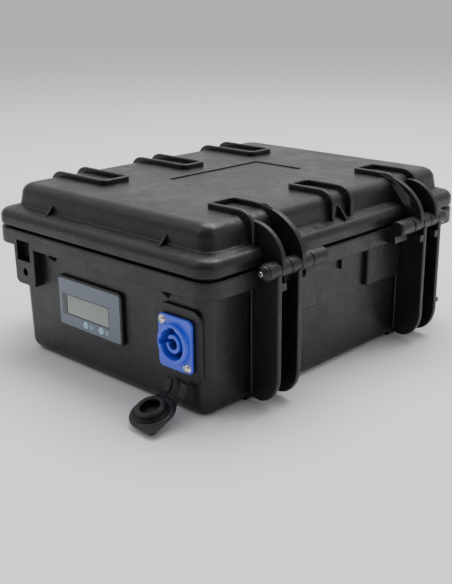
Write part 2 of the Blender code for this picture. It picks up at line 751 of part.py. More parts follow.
def make_socket():
    blue = material("socket blue", (0.035, 0.13, 0.62), 0.35)
    back = FLANGE_FRONT + 2.2
    screw_holes = [arc(place, 1.95, 0, 330, 11) for place in SCREWS]
    housing = panel_plate("socket_housing", SOCKET, FLANGE, 3.2, FLANGE_FRONT, back, blue, screw_holes)
    added = helpers("socket_added")
    cylinder("barrel", (SOCKET.x, BARREL_FRONT, SOCKET.y), "Y", 11.5, 24.0, None, added, sides=28)
    boolean(housing, added, "UNION")
    cuts = helpers("socket_cut")
    cylinder("socket_hollow", (SOCKET.x, BARREL_FRONT - 1.0, SOCKET.y), "Y", 8.9, 15.0, None, cuts, sides=28)
    box("key_top", (SOCKET.x - 2.6, BARREL_FRONT - 1.0, SOCKET.y + 6.0),
        (SOCKET.x + 2.6, BARREL_FRONT + 9.0, SOCKET.y + 9.9), None, cuts)
    box("key_left", (SOCKET.x - 10.1, BARREL_FRONT - 1.0, SOCKET.y - 1.6),
        (SOCKET.x - 6.0, BARREL_FRONT + 9.0, SOCKET.y + 1.6), None, cuts)
    boolean(housing, cuts, "DIFFERENCE")
    smooth(housing)
    make_insert(blue)
    for index, (x, z) in enumerate(((-5.0, 4.0), (5.0, 4.0), (0.0, -5.5))):
        start = (SOCKET.x + x - 3.1, BARREL_FRONT + 24.0 + GAP, SOCKET.y + z - 0.4)
        end = (SOCKET.x + x + 3.1, BARREL_FRONT + 33.0, SOCKET.y + z + 0.4)
        box(f"socket_contact_{index + 1}", start, end, copper())
    make_socket_fasteners()
    make_gasket()


def make_insert(blue):
    """The keyed spigot in the socket: a ring with a gap at its upper left."""
    ring = arc(SOCKET, 5.1, 140, 140 - 320, 20) + arc(SOCKET, 2.9, 140 - 320, 140, 16)
    insert = plate("socket_insert", [ring], "XZ", BARREL_FRONT + 1.2, BARREL_FRONT + 13.7, blue)
    smooth(insert)
    return insert


def make_socket_fasteners():
    """Screws from the front, with hexagon nuts on the inside of the panel."""
    profile = [(0.0, 1.3), (2.3, 1.2), (2.9, 0.6), (2.9, 0.0), (1.5, 0.0), (1.5, -11.6), (0.0, -11.6)]
    for (x, z), place in zip(SCREWS, ("upper", "lower")):
        smooth(turned(f"socket_screw_{place}", profile, (x, FLANGE_FRONT - GAP, z), steel(), 14))
        nut(f"socket_nut_{place}", x, z)


def nut(name, x, z):
    hexagon = arc((x, z), 3.1, 30, 330, 5)
    hole = arc((x, z), 1.9, 0, 330, 11)
    inside = PANEL + WALL + 1.3
    return plate(name, [hexagon, hole], "XZ", inside, inside + 2.4, steel())


def make_gasket():
    """The rubber plate behind the flange; it shows above it and on its hinge side."""
    left, right, low, high = (56.9, BASE[1] - 1.0, 21.4, 63.6)
    opening = arc(SOCKET, 11.85, 0, 348, 29)
    screw_holes = [arc(place, 1.95, 0, 330, 11) for place in SCREWS]
    outline = arc((right - 7.0, high - 7.0), 7.0, 0, 90, 4)
    outline += arc((left + 4.0, high - 4.0), 4.0, 90, 180, 3)
    outline += arc((left + 3.0, low + 3.0), 3.0, 180, 270, 3)
    outline += arc((right - 4.0, low + 4.0), 4.0, 270, 360, 3)
    front = FLANGE_FRONT + 2.2 + GAP
    return plate("socket_gasket", [outline, opening] + screw_holes, "XZ", front, PANEL - GAP, black_rubber())


def make_cap():
    """Modelled closed over the socket, then swung out and down about the strap roots."""
    disc_back = BARREL_FRONT - GAP
    disc = arc(SOCKET, CAP_RADIUS, 84, 366, 20)
    tip_angle = math.radians(45.0)
    tip = SOCKET + Vector((math.cos(tip_angle), math.sin(tip_angle))) * (CAP_RADIUS + 2.4)
    tab = arc(tip, 3.0, 5, 85, 4)
    cap = plate("sealing_cap", [disc + tab], "XZ", disc_back - 2.0, disc_back, black_rubber())
    added = helpers("cap_added")
    ring = [arc(SOCKET, 8.4, 0, 345, 23), arc(SOCKET, 5.8, 0, 340, 17)]
    plate("plug_ring", ring, "XZ", disc_back - 0.5, disc_back + 4.0, None, added)
    for x in (-6.0, 6.0):
        plate(f"strap_{x:.0f}", [strap_profile()], "YZ", SOCKET.x + x - 2.0, SOCKET.x + x + 2.0, None, added)
    boolean(cap, added, "UNION")
    pivot = pivot_empty("cap_pivot", SOCKET.x, CAP_AXIS[0], CAP_AXIS[1])
    pivot.rotation_euler.x = math.radians(CAP_OPEN_DEG)
    for item in [cap] + list(added.objects):
        hang_on(item, pivot)
    smooth(cap)


def strap_profile():
    """A strap seen from the side, cap closed: from the root it bows out and up to the cap."""
    root_y, root_z = CAP_AXIS
    cap_y = BARREL_FRONT - GAP - 1.0
    middle = ((root_y + cap_y) / 2 - 2.2, root_z + 4.0)
    root, on_cap = (root_y, root_z + 0.2, 0.0), (cap_y, root_z + 12.0, 0.0)
    points = smoothed([root, (*middle, 0.0), (cap_y - 0.2, root_z + 9.5, 0.0), on_cap], 3)
    sides = ([], [])
    for before, here, after in zip([points[0]] + points, points, points[1:] + [points[-1]]):
        along = (after - before).normalized()
        across = Vector((-along.y, along.x, 0.0)) * 0.8
        sides[0].append(here + across)
        sides[1].append(here - across)
    return [(p.x, p.y) for p in sides[0] + sides[1][::-1]]


# ---------------------------------------------------------------- what the case holds


def cell_front(index):
    return CELL_START.y - CELL.y / 2 + index * CELL_PITCH


def make_cells():
    """A row of flat cells with two terminal posts each."""
    case = material("cell case", (0.10, 0.22, 0.42), 0.4)
    for index in range(CELL_COUNT):
        low = Vector((CELL_START.x - CELL.x / 2, cell_front(index), CELL_START.z))
        cell = box(f"cell_{index + 1}", low, low + CELL, case)
        posts = helpers(f"cell_{index + 1}_posts")
        for x in (-52.0, 52.0):
            start = (CELL_START.x + x, low.y + CELL.y / 2, low.z + CELL.z - 0.5)
            cylinder(f"post_{index}_{x:.0f}", start, "Z", 5.0, 2.7, None, posts, sides=12)
        boolean(cell, posts, "UNION")
    for index in range(CELL_COUNT - 1):
        x = CELL_START.x + (52.0 if index % 2 else -52.0)
        start = cell_front(index) + CELL.y / 2 - 7.0
        top = CELL_START.z + CELL.z + 2.2 + GAP
        low, high = (x - 6.5, start, top), (x + 6.5, start + CELL_PITCH + 14.0, top + 1.2)
        box(f"busbar_{index + 1}", low, high, copper())


def make_cell_supports():
    foam = material("grey foam", (0.09, 0.09, 0.10), 0.9)
    plate_grey = material("end plate", (0.35, 0.36, 0.38), 0.35, 1.0)
    left, right = CELL_START.x - CELL.x / 2, CELL_START.x + CELL.x / 2
    front, back = cell_front(0), cell_front(CELL_COUNT - 1) + CELL.y
    box("cell_pad", (left + 1.0, front, WALL + GAP), (right - 1.0, back, CELL_START.z - GAP), foam)
    low, high = CELL_START.z, CELL_START.z + CELL.z - 1.0
    box("end_plate_front", (left, front - GAP - 2.5, low), (right, front - GAP, high), plate_grey)
    box("end_plate_rear", (left, back + GAP, low), (right, back + GAP + 2.5, high), plate_grey)
    band = material("steel band", (0.45, 0.46, 0.47), 0.35, 1.0)
    for name, z in (("lower", low + 14.0), ("upper", high - 16.0)):
        outer = (left - GAP - 0.9, right + GAP + 0.9, front - 2 * GAP - 3.4, back + 2 * GAP + 3.4)
        inner = (left - GAP, right + GAP, front - 2 * GAP - 2.5, back + 2 * GAP + 2.5)
        outlines = [rounded_rectangle(outer, 1.4, 2), rounded_rectangle(inner, 0.5, 2)]
        plate(f"pack_band_{name}", outlines, "XY", z, z + 9.0, band)
    pad = grown(LID_BODY, -WALL - 9.0)
    loft("lid_foam", [(pad, 4.0, LID_BOTTOM + 1.5), (pad, 4.0, LID_TOP - WALL - GAP)], foam, None, 2)


BMS = ((-64.0, 22.0), (14.0, 60.0))
BMS_Y = -73.5
FUSE = Vector((44.0, -84.0, 60.0))
POWER_LEAD_RADIUS = 1.6
METER_LEAD_RADIUS = 1.2


def make_electronics():
    (left, right), (low, high) = BMS
    dark = material("component black", (0.02, 0.02, 0.02), 0.5)
    aluminium = material("aluminium", (0.7, 0.7, 0.7), 0.35, 1.0)
    box("bms_plate", (left - 2.0, BMS_Y, low - 2.0), (right + 2.0, BMS_Y + 1.6, high + 2.0), aluminium)
    box("bms_board", (left, BMS_Y - GAP - 1.6, low), (right, BMS_Y - GAP, high), board_green())
    face = BMS_Y - 2 * GAP - 1.6
    strip = box("bms_transistors", (left + 8.0, face - 1.4, low + 9.0), (right - 9.0, face, low + 17.0), dark)
    chips = helpers("transistors")
    for column in range(5):
        x = left + 10.0 + column * 14.0
        box(f"chip_{column}", (x, face - 3.4, low + 7.0), (x + 9.0, face - 0.4, low + 19.0), None, chips)
    boolean(strip, chips, "UNION")
    body = box("fuse_holder", FUSE - Vector((14.0, 5.0, 7.0)), FUSE + Vector((14.0, 5.0, 7.0)), dark)
    slot = helpers("fuse_cut")
    box("fuse_slot", FUSE + Vector((-10.5, -2.3, -3.0)), FUSE + Vector((10.5, 2.3, 9.0)), None, slot)
    boolean(body, slot, "DIFFERENCE")
    amber = material("blade fuse", (0.75, 0.32, 0.03), 0.3)
    box("blade_fuse", FUSE + Vector((-9.8, -1.9, -2.6)), FUSE + Vector((9.8, 1.9, 11.0)), amber)


def make_leads():
    """Each lead runs from face to face and keeps clear of what it passes."""
    red = material("red lead", (0.45, 0.02, 0.02), 0.45)
    black = material("black lead", (0.02, 0.02, 0.02), 0.45)
    grey = material("grey lead", (0.22, 0.22, 0.23), 0.5)
    tip_y = BARREL_FRONT + 33.0 + 2 * GAP
    to_fuse = [(65.7, tip_y, 46.5), (65.7, tip_y + 2.0, 46.5), (66.4, -85.4, 51.0)]
    to_fuse += [(65.0, -84.2, 58.0), (61.0, -84.0, 60.0), (58.3, -84.0, 60.0)]
    tube("lead_socket_positive", to_fuse, POWER_LEAD_RADIUS, red)
    to_cells = [(29.7, -84.0, 60.0), (27.0, -84.0, 60.0), (20.0, -83.0, 63.0), (8.0, -80.0, 70.0)]
    to_cells += [(-20.0, -77.0, 74.0), (-40.0, -70.0, 77.5), (-46.0, -60.0, 78.6)]
    to_cells += [(-46.0, -56.4, 77.6), (-46.0, -56.0, 76.0)]
    tube("lead_fuse_to_cells", to_cells, POWER_LEAD_RADIUS, red)
    to_board = [(70.7, tip_y, 37.0), (70.7, tip_y + 2.4, 37.0), (64.0, -83.4, 34.6)]
    to_board += [(40.0, -80.0, 32.0), (24.4, -77.6, 31.0), (20.0, -77.2, 31.0)]
    tube("lead_socket_negative", to_board, POWER_LEAD_RADIUS, black)
    from_meter = [(7.2, -110.8, 43.1), (7.2, -107.0, 43.1), (7.0, -101.0, 43.4)]
    from_meter += [(4.0, -92.0, 46.0), (0.0, -82.0, 49.0), (0.0, -76.0, 50.0)]
    tube("lead_meter", from_meter, METER_LEAD_RADIUS, grey)


def main():
    global PARTS, CUTTERS
    clear_scene()
    PARTS = new_collection("portable_battery")
    CUTTERS = new_collection("cutters")
    CUTTERS.hide_render = True
    make_base()
    make_lid()
    make_seal()
    make_hinge_pins()
    make_latches()
    make_handle()
    make_meter()
    make_socket()
    make_cap()
    make_cells()
    make_cell_supports()
    make_electronics()
    make_leads()


main()
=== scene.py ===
"""Looks of the portable battery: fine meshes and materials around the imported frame.

Lengths are millimetres in this file and metres in the scene. The panel side faces -Y,
the hinge side +X and the latch side -X.
"""

import json
import math

import bmesh
import bpy
from mathutils import Matrix, Vector


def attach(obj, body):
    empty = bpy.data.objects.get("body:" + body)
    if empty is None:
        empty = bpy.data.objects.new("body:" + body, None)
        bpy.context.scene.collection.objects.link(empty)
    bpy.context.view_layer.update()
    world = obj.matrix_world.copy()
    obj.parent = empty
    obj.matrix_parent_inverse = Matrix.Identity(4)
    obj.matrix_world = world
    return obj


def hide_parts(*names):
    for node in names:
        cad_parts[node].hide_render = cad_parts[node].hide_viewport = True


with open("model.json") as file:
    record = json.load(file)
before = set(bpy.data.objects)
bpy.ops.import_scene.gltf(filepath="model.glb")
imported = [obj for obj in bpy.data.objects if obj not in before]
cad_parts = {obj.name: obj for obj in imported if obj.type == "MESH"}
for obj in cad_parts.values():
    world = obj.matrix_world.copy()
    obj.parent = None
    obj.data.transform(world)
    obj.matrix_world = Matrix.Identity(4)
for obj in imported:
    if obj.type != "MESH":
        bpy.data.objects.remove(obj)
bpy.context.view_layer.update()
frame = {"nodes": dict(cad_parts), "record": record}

MM = 0.001

# The case.
RIM = (-97.5, 97.5, -122.5, 122.5)
RIM_RADIUS = 12.0
RIM_BOTTOM = 71.0
RIM_TOP = 81.5
SEAL_INSETS = (3.5, 6.1)
WALL = 3.0
BASE = (-79.5, 90.0, -117.0, 117.0)
BASE_FOOT = (-77.0, 89.0, -116.5, 116.5)
BASE_RADIUS = 9.0
BOTTOM_FILLET = 8.0
LID_BOTTOM = 83.0
CREASE = 94.5
LID_TOP = 108.5
LID_BODY = (-88.0, 88.0, -111.5, 114.0)
LID_RADIUS = 10.0
LID_FILLET = 7.5
RIB_TOP = 111.8
RIB_REACH = 3.3
RIB_WIDTH = 3.2
RIB_BEND = 10.5
GUSSET_DEPTH = 5.0
GUSSET_TOP = 99.4
CORNER_STEPS = 10

# Meshing and shading.
SHARP_EDGE_DEG = 32.0
SHADING_EDGE_DEG = 38.0
STRAIGHT_PIECES = 16

# Hinges, given for the +Y one and mirrored.
HINGE = (105.4, 82.0)
KNUCKLE_RADIUS = 5.0
BORE_RADIUS = 1.7
HINGE_BORE = (38.4, 92.0)
OUTER_FIN = (78.0, 81.4)
INNER_FIN = (61.0, 64.4)
BASE_KNUCKLES = ((78.0, 87.0), (61.0, 69.2), (37.0, 51.0))
LID_KNUCKLES = ((69.6, 77.6), (51.4, 60.6))
OUTER_ARM = (74.2, 77.6)
INNER_ARM = (57.2, 60.6)
OUTER_RIB = (77.6, 80.8)
FIN_EDGE = HINGE[0] + KNUCKLE_RADIUS

# Panel side.
PANEL = BASE[2]
METER = Vector((-6.8, 43.1))
METER_SIZE = Vector((61.0, 33.0))
METER_OPENING = Vector((57.4, 29.0))
LCD = METER + Vector((-1.6, -1.2))
LCD_SIZE = Vector((39.4, 12.0))
BUTTONS = (METER + Vector((-3.7, -11.0)), METER + Vector((10.9, -11.0)))
BUTTON_RADIUS = 2.5
SOCKET = Vector((70.7, 42.5))
SCREWS = ((61.2, 54.5), (80.2, 30.5))
FLANGE = Vector((26.0, 31.0))
FLANGE_FRONT = -121.5
BARREL_FRONT = -124.1
BARREL_RADIUS = 11.5
BARREL_DEPTH = 24.0
HOLLOW_RADIUS = 8.9
HOLLOW_DEPTH = 14.0
SCREW_HOLE_RADIUS = 1.95
SPIGOT_RADII = (3.2, 5.4)

# Latches and handle.
LATCH_Y = 71.2
LATCH_PIVOT = (-101.8, 88.5)
LATCH_HALF = 18.3
LATCH_RELEASED_DEG = 10.0
HANDLE_PIVOT = (-88.5, 61.0)
HANDLE_HALF = 44.0
HANDLE_EAR = (44.4, 48.4)
HANDLE_BORE_RADIUS = 2.2

# Sealing cap.
CAP_AXIS = (-119.9, 20.3)
CAP_RADIUS = 13.4
CAP_OPEN_DEG = 109.0

# Camera, in metres and degrees.
CAMERA_PLACE = (0.4182, -0.4407, 0.2285)
CAMERA_YAW_DEG = 43.992
CAMERA_DOWN_DEG = 18.382
CAMERA_ROLL_DEG = -0.501
CAMERA_LENS = 57.27

# The world light's strength on the photographer's side and behind the object.
STUDIO_DIM = 0.22
STUDIO_BRIGHT = 0.88


# ---------------------------------------------------------------- meshes


def in_scene(name, data):
    made = bpy.data.objects.new(name, data)
    bpy.context.scene.collection.objects.link(made)
    return made


def mesh_object(name, bm):
    mesh = bpy.data.meshes.new(name)
    bm.to_mesh(mesh)
    bm.free()
    return in_scene(name, mesh)


def to_object(name, bm):
    """An object with its faces turned outwards; later steps may join or cut it."""
    bmesh.ops.recalc_face_normals(bm, faces=bm.faces[:])
    return mesh_object(name, bm)


def wall(bm, start, end):
    """Faces between two rings of the same length."""
    for index in range(len(start)):
        following = (index + 1) % len(start)
        bm.faces.new((start[index], start[following], end[following], end[index]))


def closed_skin(name, bm, rings):
    """A solid through rings of the same length, with both ends capped."""
    for low, high in zip(rings, rings[1:]):
        wall(bm, low, high)
    bm.faces.new(rings[0])
    bm.faces.new(rings[-1])
    return to_object(name, bm)


def round_edges(bm, width, segments=2):
    """Rounds every edge that turns sharply."""
    if not width:
        return
    limit = math.radians(SHARP_EDGE_DEG)
    edges = [
        edge for edge in bm.edges
        if len(edge.link_faces) == 2 and edge.calc_face_angle() > limit
    ]
    bmesh.ops.bevel(
        bm, geom=edges, offset=width * MM, offset_type="OFFSET", segments=segments,
        profile=0.5, affect="EDGES", clamp_overlap=True
    )


def arc(centre, radius, start_deg, end_deg, steps):
    wide, high = radius if isinstance(radius, tuple) else (radius, radius)
    points = []
    for step in range(steps + 1):
        angle = math.radians(start_deg + (end_deg - start_deg) * step / steps)
        points.append((centre[0] + wide * math.cos(angle), centre[1] + high * math.sin(angle)))
    return points


def rounded_rectangle(rectangle, radius, steps=CORNER_STEPS):
    left, right, front, back = rectangle
    corners = (
        ((right - radius, back - radius), 0),
        ((left + radius, back - radius), 90),
        ((left + radius, front + radius), 180),
        ((right - radius, front + radius), 270),
    )
    points = []
    for centre, start in corners:
        points += arc(centre, radius, start, start + 90, steps)
    return points


def grown(rectangle, by):
    left, right, front, back = rectangle
    return (left - by, right + by, front - by, back + by)


def mixed(one, other, share):
    return tuple(a + (b - a) * share for a, b in zip(one, other))


def mirrored(span, side):
    low, high = span[0] * side, span[1] * side
    return min(low, high), max(low, high)


def with_straights_split(points, pieces=STRAIGHT_PIECES):
    """The same outline with each corner-to-corner straight in equal pieces."""
    made = []
    per_corner = len(points) // 4
    for index, (x, y) in enumerate(points):
        made.append((x, y))
        if index % per_corner == per_corner - 1:
            end_x, end_y = points[(index + 1) % len(points)]
            for piece in range(1, pieces):
                share = piece / pieces
                made.append((x + (end_x - x) * share, y + (end_y - y) * share))
    return made


def loft(name, sections):
    """A skin through rounded rectangles, each (rectangle, corner radius, z)."""
    bm = bmesh.new()
    rings = []
    for rectangle, radius, z in sections:
        points = with_straights_split(rounded_rectangle(rectangle, radius))
        rings.append([bm.verts.new((x * MM, y * MM, z * MM)) for x, y in points])
    return closed_skin(name, bm, rings)


# Where an outline's own x and y, and its depth, go in the scene.
PLANES = {
    "XY": lambda x, y, depth: (x, y, depth),
    "XZ": lambda x, y, depth: (x, depth, y),
    "YZ": lambda x, y, depth: (depth, x, y),
}


def plate(name, outline, plane, low, high, edge=0.0, segments=2, hole=None):
    """An outline, with at most one hole bridged to it, extruded from low to high."""
    bm = bmesh.new()
    place = PLANES[plane]

    def ring(points, depth):
        return [bm.verts.new(Vector(place(x, y, depth)) * MM) for x, y in points]

    near, far = ring(outline, low), ring(outline, high)
    wall(bm, near, far)
    if hole:
        inner_near, inner_far = ring(hole, low), ring(hole, high)
        wall(bm, inner_near, inner_far)
        for outside, inside in ((near, inner_near), (far, inner_far)):
            edges = []
            for loop in (outside, inside):
                for index in range(len(loop)):
                    edges.append(bm.edges.get((loop[index], loop[(index + 1) % len(loop)])))
            bmesh.ops.triangle_fill(bm, use_beauty=True, use_dissolve=False, edges=edges)
        bmesh.ops.recalc_face_normals(bm, faces=bm.faces[:])
        bmesh.ops.dissolve_limit(
            bm, angle_limit=math.radians(1.0), verts=bm.verts[:], edges=bm.edges[:]
        )
    else:
        bm.faces.new(near)
        bm.faces.new(far)
    bmesh.ops.recalc_face_normals(bm, faces=bm.faces[:])
    round_edges(bm, edge, segments)
    return to_object(name, bm)


def box(name, low, high, edge=0.0, segments=2):
    low, high = Vector(low) * MM, Vector(high) * MM
    bm = bmesh.new()
    bmesh.ops.create_cube(bm, size=1.0)
    bmesh.ops.scale(bm, vec=high - low, verts=bm.verts[:])
    bmesh.ops.translate(bm, vec=(low + high) / 2, verts=bm.verts[:])
    round_edges(bm, edge, segments)
    return to_object(name, bm)


def lathe(name, profile, centre, axis, steps=40):
    """A solid turned about Y or Z: its profile is (radius, position along the axis)."""
    bm = bmesh.new()
    rings = []
    for radius, along in profile:
        if radius <= 0.0:
            rings.append([bm.verts.new((0, 0, along * MM))])
            continue
        ring = []
        for x, y in arc((0.0, 0.0), radius, 0, 360 * (steps - 1) / steps, steps - 1):
            ring.append(bm.verts.new((x * MM, y * MM, along * MM)))
        rings.append(ring)
    for low, high in zip(rings, rings[1:]):
        for index in range(steps):
            following = (index + 1) % steps
            corners = [low[index % len(low)], low[following % len(low)],
                       high[following % len(high)], high[index % len(high)]]
            unique = list(dict.fromkeys(corners))
            if len(unique) > 2:
                bm.faces.new(unique)
    turn = {"Y": Matrix.Rotation(-math.pi / 2, 4, "X"), "Z": Matrix()}[axis]
    place = Matrix.Translation(Vector(centre) * MM)
    bmesh.ops.transform(bm, matrix=place @ turn, verts=bm.verts[:])
    return to_object(name, bm)


def rod(name, start, axis, radius, length, edge=0.4, steps=32):
    """A cylinder with rounded ends, from its start face along +axis."""
    profile = [(0.0, 0.0), (radius - edge, 0.0)]
    profile += arc((radius - edge, edge), edge, -90, 0, 3)[1:]
    profile += arc((radius - edge, length - edge), edge, 0, 90, 3)
    profile += [(0.0, length)]
    return lathe(name, profile, start, axis, steps)


def sweep(name, path, normals, section):
    """A section, as (across, outward) points, carried along a path with its outward normals."""
    bm = bmesh.new()
    points = [Vector(point) for point in path]
    rings = []
    for index, (here, normal) in enumerate(zip(points, normals)):
        before, after = points[max(index - 1, 0)], points[min(index + 1, len(points) - 1)]
        along = (after - before).normalized()
        normal = Vector(normal).normalized()
        across = along.cross(normal).normalized()
        rings.append([bm.verts.new((here + across * a + normal * b) * MM) for a, b in section])
    return closed_skin(name, bm, rings)


def discard(items):
    for item in items:
        mesh = item.data
        bpy.data.objects.remove(item, do_unlink=True)
        if mesh.users == 0:
            bpy.data.meshes.remove(mesh)


def boolean(target, others, operation):
    """Joins or cuts with several closed objects at once, which are then removed."""
    group = bpy.data.collections.new("operands")
    for item in others:
        group.objects.link(item)
    modifier = target.modifiers.new(operation, "BOOLEAN")
    modifier.operation = operation
    modifier.solver = "EXACT"
    modifier.use_self = False
    modifier.operand_type = "COLLECTION"
    modifier.collection = group
    bpy.context.view_layer.update()
    graph = bpy.context.evaluated_depsgraph_get()
    mesh = bpy.data.meshes.new_from_object(target.evaluated_get(graph))
    target.modifiers.clear()
    old = target.data
    target.data = mesh
    bpy.data.meshes.remove(old)
    discard(others)
    bpy.data.collections.remove(group)
    return target


def united(name, skin, additions, cuts=()):
    """The one solid of a skin with what is moulded on and what is cut out."""
    made = boolean(skin, additions, "UNION") if additions else skin
    if cuts:
        made = boolean(made, list(cuts), "DIFFERENCE")
    made.name = name
    return made


def finish_piece(item, body, slot, replaced=()):
    """Shading, material, the body that a piece rides on and the CAD nodes that it replaces."""
    mesh = item.data
    mesh.name = item.name
    mesh.materials.clear()
    mesh.materials.append(SURFACES[slot])
    mesh.shade_smooth()
    mesh.set_sharp_from_angle(angle=math.radians(SHADING_EDGE_DEG))
    weighted = item.modifiers.new("flat faces stay flat", "WEIGHTED_NORMAL")
    weighted.keep_sharp = True
    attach(item, body)
    if replaced:
        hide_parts(*replaced)


# ---------------------------------------------------------------- materials


class Surface:
    """A node material built up step by step; coordinates are metres in the piece's frame."""

    def __init__(self, name, **inputs):
        self.material = bpy.data.materials.new(name)
        self.material.use_nodes = True
        self.tree = self.material.node_tree
        self.shader = self.tree.nodes["Principled BSDF"]
        for socket, value in inputs.items():
            self.shader.inputs[socket.replace("_", " ")].default_value = value
        self.place = self.add("ShaderNodeTexCoord").outputs["Object"]
        self.bump_out = None

    def add(self, kind, links=None, **settings):
        node = self.tree.nodes.new(kind)
        for name, value in settings.items():
            setattr(node, name, value)
        for socket, value in (links or {}).items():
            self.feed(node.inputs[socket], value)
        return node

    def feed(self, socket, value):
        if isinstance(value, bpy.types.NodeSocket):
            self.tree.links.new(value, socket)
        else:
            socket.default_value = value

    def noise(self, scale, detail=2.0, roughness=0.5, place=None, distortion=0.0):
        links = {"Vector": place or self.place, "Scale": scale, "Detail": detail,
                 "Roughness": roughness, "Distortion": distortion}
        return self.add("ShaderNodeTexNoise", links).outputs["Fac"]

    def cells(self, scale, feature="F1"):
        links = {"Vector": self.place, "Scale": scale}
        return self.add("ShaderNodeTexVoronoi", links, feature=feature).outputs["Distance"]

    def stretched(self, factors):
        links = {"Vector": self.place, "Scale": factors}
        return self.add("ShaderNodeMapping", links).outputs["Vector"]

    def remap(self, value, low, high, to_low=0.0, to_high=1.0):
        node = self.add("ShaderNodeMapRange", {
            "Value": value, "From Min": low, "From Max": high, "To Min": to_low, "To Max": to_high})
        return node.outputs["Result"]

    def maths(self, operation, first, second):
        node = self.add("ShaderNodeMath", {0: first, 1: second}, operation=operation)
        return node.outputs["Value"]

    def mix(self, factor, first, second):
        node = self.add("ShaderNodeMix", data_type="RGBA")
        self.feed(node.inputs[0], factor)
        self.feed(node.inputs[6], first)
        self.feed(node.inputs[7], second)
        return node.outputs[2]

    def colour(self, value):
        self.feed(self.shader.inputs["Base Color"], value)

    def rough(self, value):
        self.feed(self.shader.inputs["Roughness"], value)

    def uneven_sheen(self, scale, low, high, detail=2.0):
        """Roughness that wanders between two values."""
        self.rough(self.remap(self.noise(scale, detail), 0.3, 0.7, low, high))

    def bump(self, height, depth_mm, strength=1.0):
        """Adds one layer of relief; layers pile up."""
        links = {"Height": height, "Distance": depth_mm * MM, "Strength": strength}
        node = self.add("ShaderNodeBump", links)
        if self.bump_out:
            self.feed(node.inputs["Normal"], self.bump_out)
        self.bump_out = node.outputs["Normal"]
        self.feed(self.shader.inputs["Normal"], self.bump_out)

    def axis(self, letter):
        return self.add("ShaderNodeSeparateXYZ", {"Vector": self.place}).outputs[letter]

    def radius(self, centre):
        """Distance from a line along Y through a point of the panel."""
        offset = self.add("ShaderNodeVectorMath", {
            0: self.place, 1: (centre.x * MM, 0.0, centre.y * MM)}, operation="SUBTRACT")
        flat = self.add("ShaderNodeVectorMath", {
            0: offset.outputs["Vector"], 1: (1.0, 0.0, 1.0)}, operation="MULTIPLY")
        length = self.add("ShaderNodeVectorMath", {0: flat.outputs["Vector"]}, operation="LENGTH")
        return length.outputs["Value"]

    def inside(self, left, right, low, high):
        """1 in a rectangle on the panel and 0 outside it."""
        x, z = self.axis("X"), self.axis("Z")
        across = self.maths("MINIMUM", self.maths("SUBTRACT", x, left * MM),
                            self.maths("SUBTRACT", right * MM, x))
        upright = self.maths("MINIMUM", self.maths("SUBTRACT", z, low * MM),
                             self.maths("SUBTRACT", high * MM, z))
        return self.remap(self.maths("MINIMUM", across, upright), 0.0, 0.15 * MM)

    def edges(self, low=0.52, high=0.6):
        """1 on convex edges and 0 elsewhere."""
        pointed = self.add("ShaderNodeNewGeometry").outputs["Pointiness"]
        return self.remap(pointed, low, high)


def rgb(*values):
    return (*values, 1.0)


def case_plastic():
    """Black moulded plastic with a fine leather grain, some dust and rubbed edges."""
    s = Surface("case_plastic", Specular_IOR_Level=0.40)
    grain = s.cells(1150.0, "SMOOTH_F1")
    wrinkle = s.noise(520.0, 3.0, 0.55, distortion=0.6)
    swell = s.noise(150.0, 3.0, 0.6, distortion=0.8)
    wave = s.noise(26.0, 1.0, 0.5)
    tone = s.noise(38.0, 3.0, 0.6)
    dust = s.remap(s.cells(310.0), 0.055, 0.03)
    scattered = s.remap(s.noise(60.0, 2.0), 0.52, 0.62)
    dust = s.maths("MULTIPLY", dust, scattered)
    base = s.mix(tone, rgb(0.0066, 0.0066, 0.0075), rgb(0.0118, 0.0118, 0.0131))
    rubbed = s.maths("MULTIPLY", s.edges(), s.remap(s.noise(90.0, 3.0), 0.3, 0.7))
    base = s.mix(s.maths("MULTIPLY", rubbed, 0.55), base, rgb(0.045, 0.045, 0.047))
    s.colour(s.mix(s.maths("MULTIPLY", dust, 0.7), base, rgb(0.16, 0.155, 0.15)))
    fine = s.remap(s.noise(300.0, 3.0, 0.6), 0.25, 0.75, 0.30, 0.46)
    broad = s.remap(s.noise(30.0, 3.0, 0.6, distortion=1.2), 0.35, 0.65, -0.05, 0.07)
    s.rough(s.maths("ADD", fine, broad))
    s.bump(wave, 0.90, 0.6)
    s.bump(swell, 0.30, 0.9)
    s.bump(wrinkle, 0.075, 0.9)
    s.bump(grain, 0.035, 0.7)
    return s.material


def plain_plastic(name, colour, roughness):
    s = Surface(name)
    tone = s.noise(140.0, 3.0)
    low = rgb(*(value * 0.88 for value in colour))
    high = rgb(*(min(value * 1.12, 1.0) for value in colour))
    s.colour(s.mix(tone, low, high))
    s.uneven_sheen(500.0, roughness - 0.05, roughness + 0.06)
    s.bump(s.noise(1400.0, 2.0), 0.02, 0.6)
    return s.material


def rubber():
    s = Surface("black_rubber", Specular_IOR_Level=0.4)
    tone = s.noise(70.0, 3.0, 0.6)
    dusty = s.remap(s.noise(900.0, 2.0, 0.7), 0.6, 0.8)
    base = s.mix(tone, rgb(0.0065, 0.0065, 0.0075), rgb(0.0115, 0.0115, 0.0125))
    s.colour(s.mix(s.maths("MULTIPLY", dusty, 0.25), base, rgb(0.05, 0.05, 0.05)))
    s.uneven_sheen(220.0, 0.36, 0.52, detail=3.0)
    s.bump(s.noise(700.0, 3.0, 0.6), 0.03, 0.8)
    return s.material


def metal(name, colour, roughness):
    s = Surface(name, Metallic=1.0)
    streak = s.noise(900.0, 2.0, place=s.stretched((1.0, 0.12, 1.0)))
    tone = s.noise(200.0, 3.0)
    low = rgb(*(value * 0.82 for value in colour))
    s.colour(s.mix(tone, low, rgb(*colour)))
    s.rough(s.remap(streak, 0.3, 0.7, roughness - 0.07, roughness + 0.1))
    s.bump(streak, 0.01, 0.5)
    return s.material


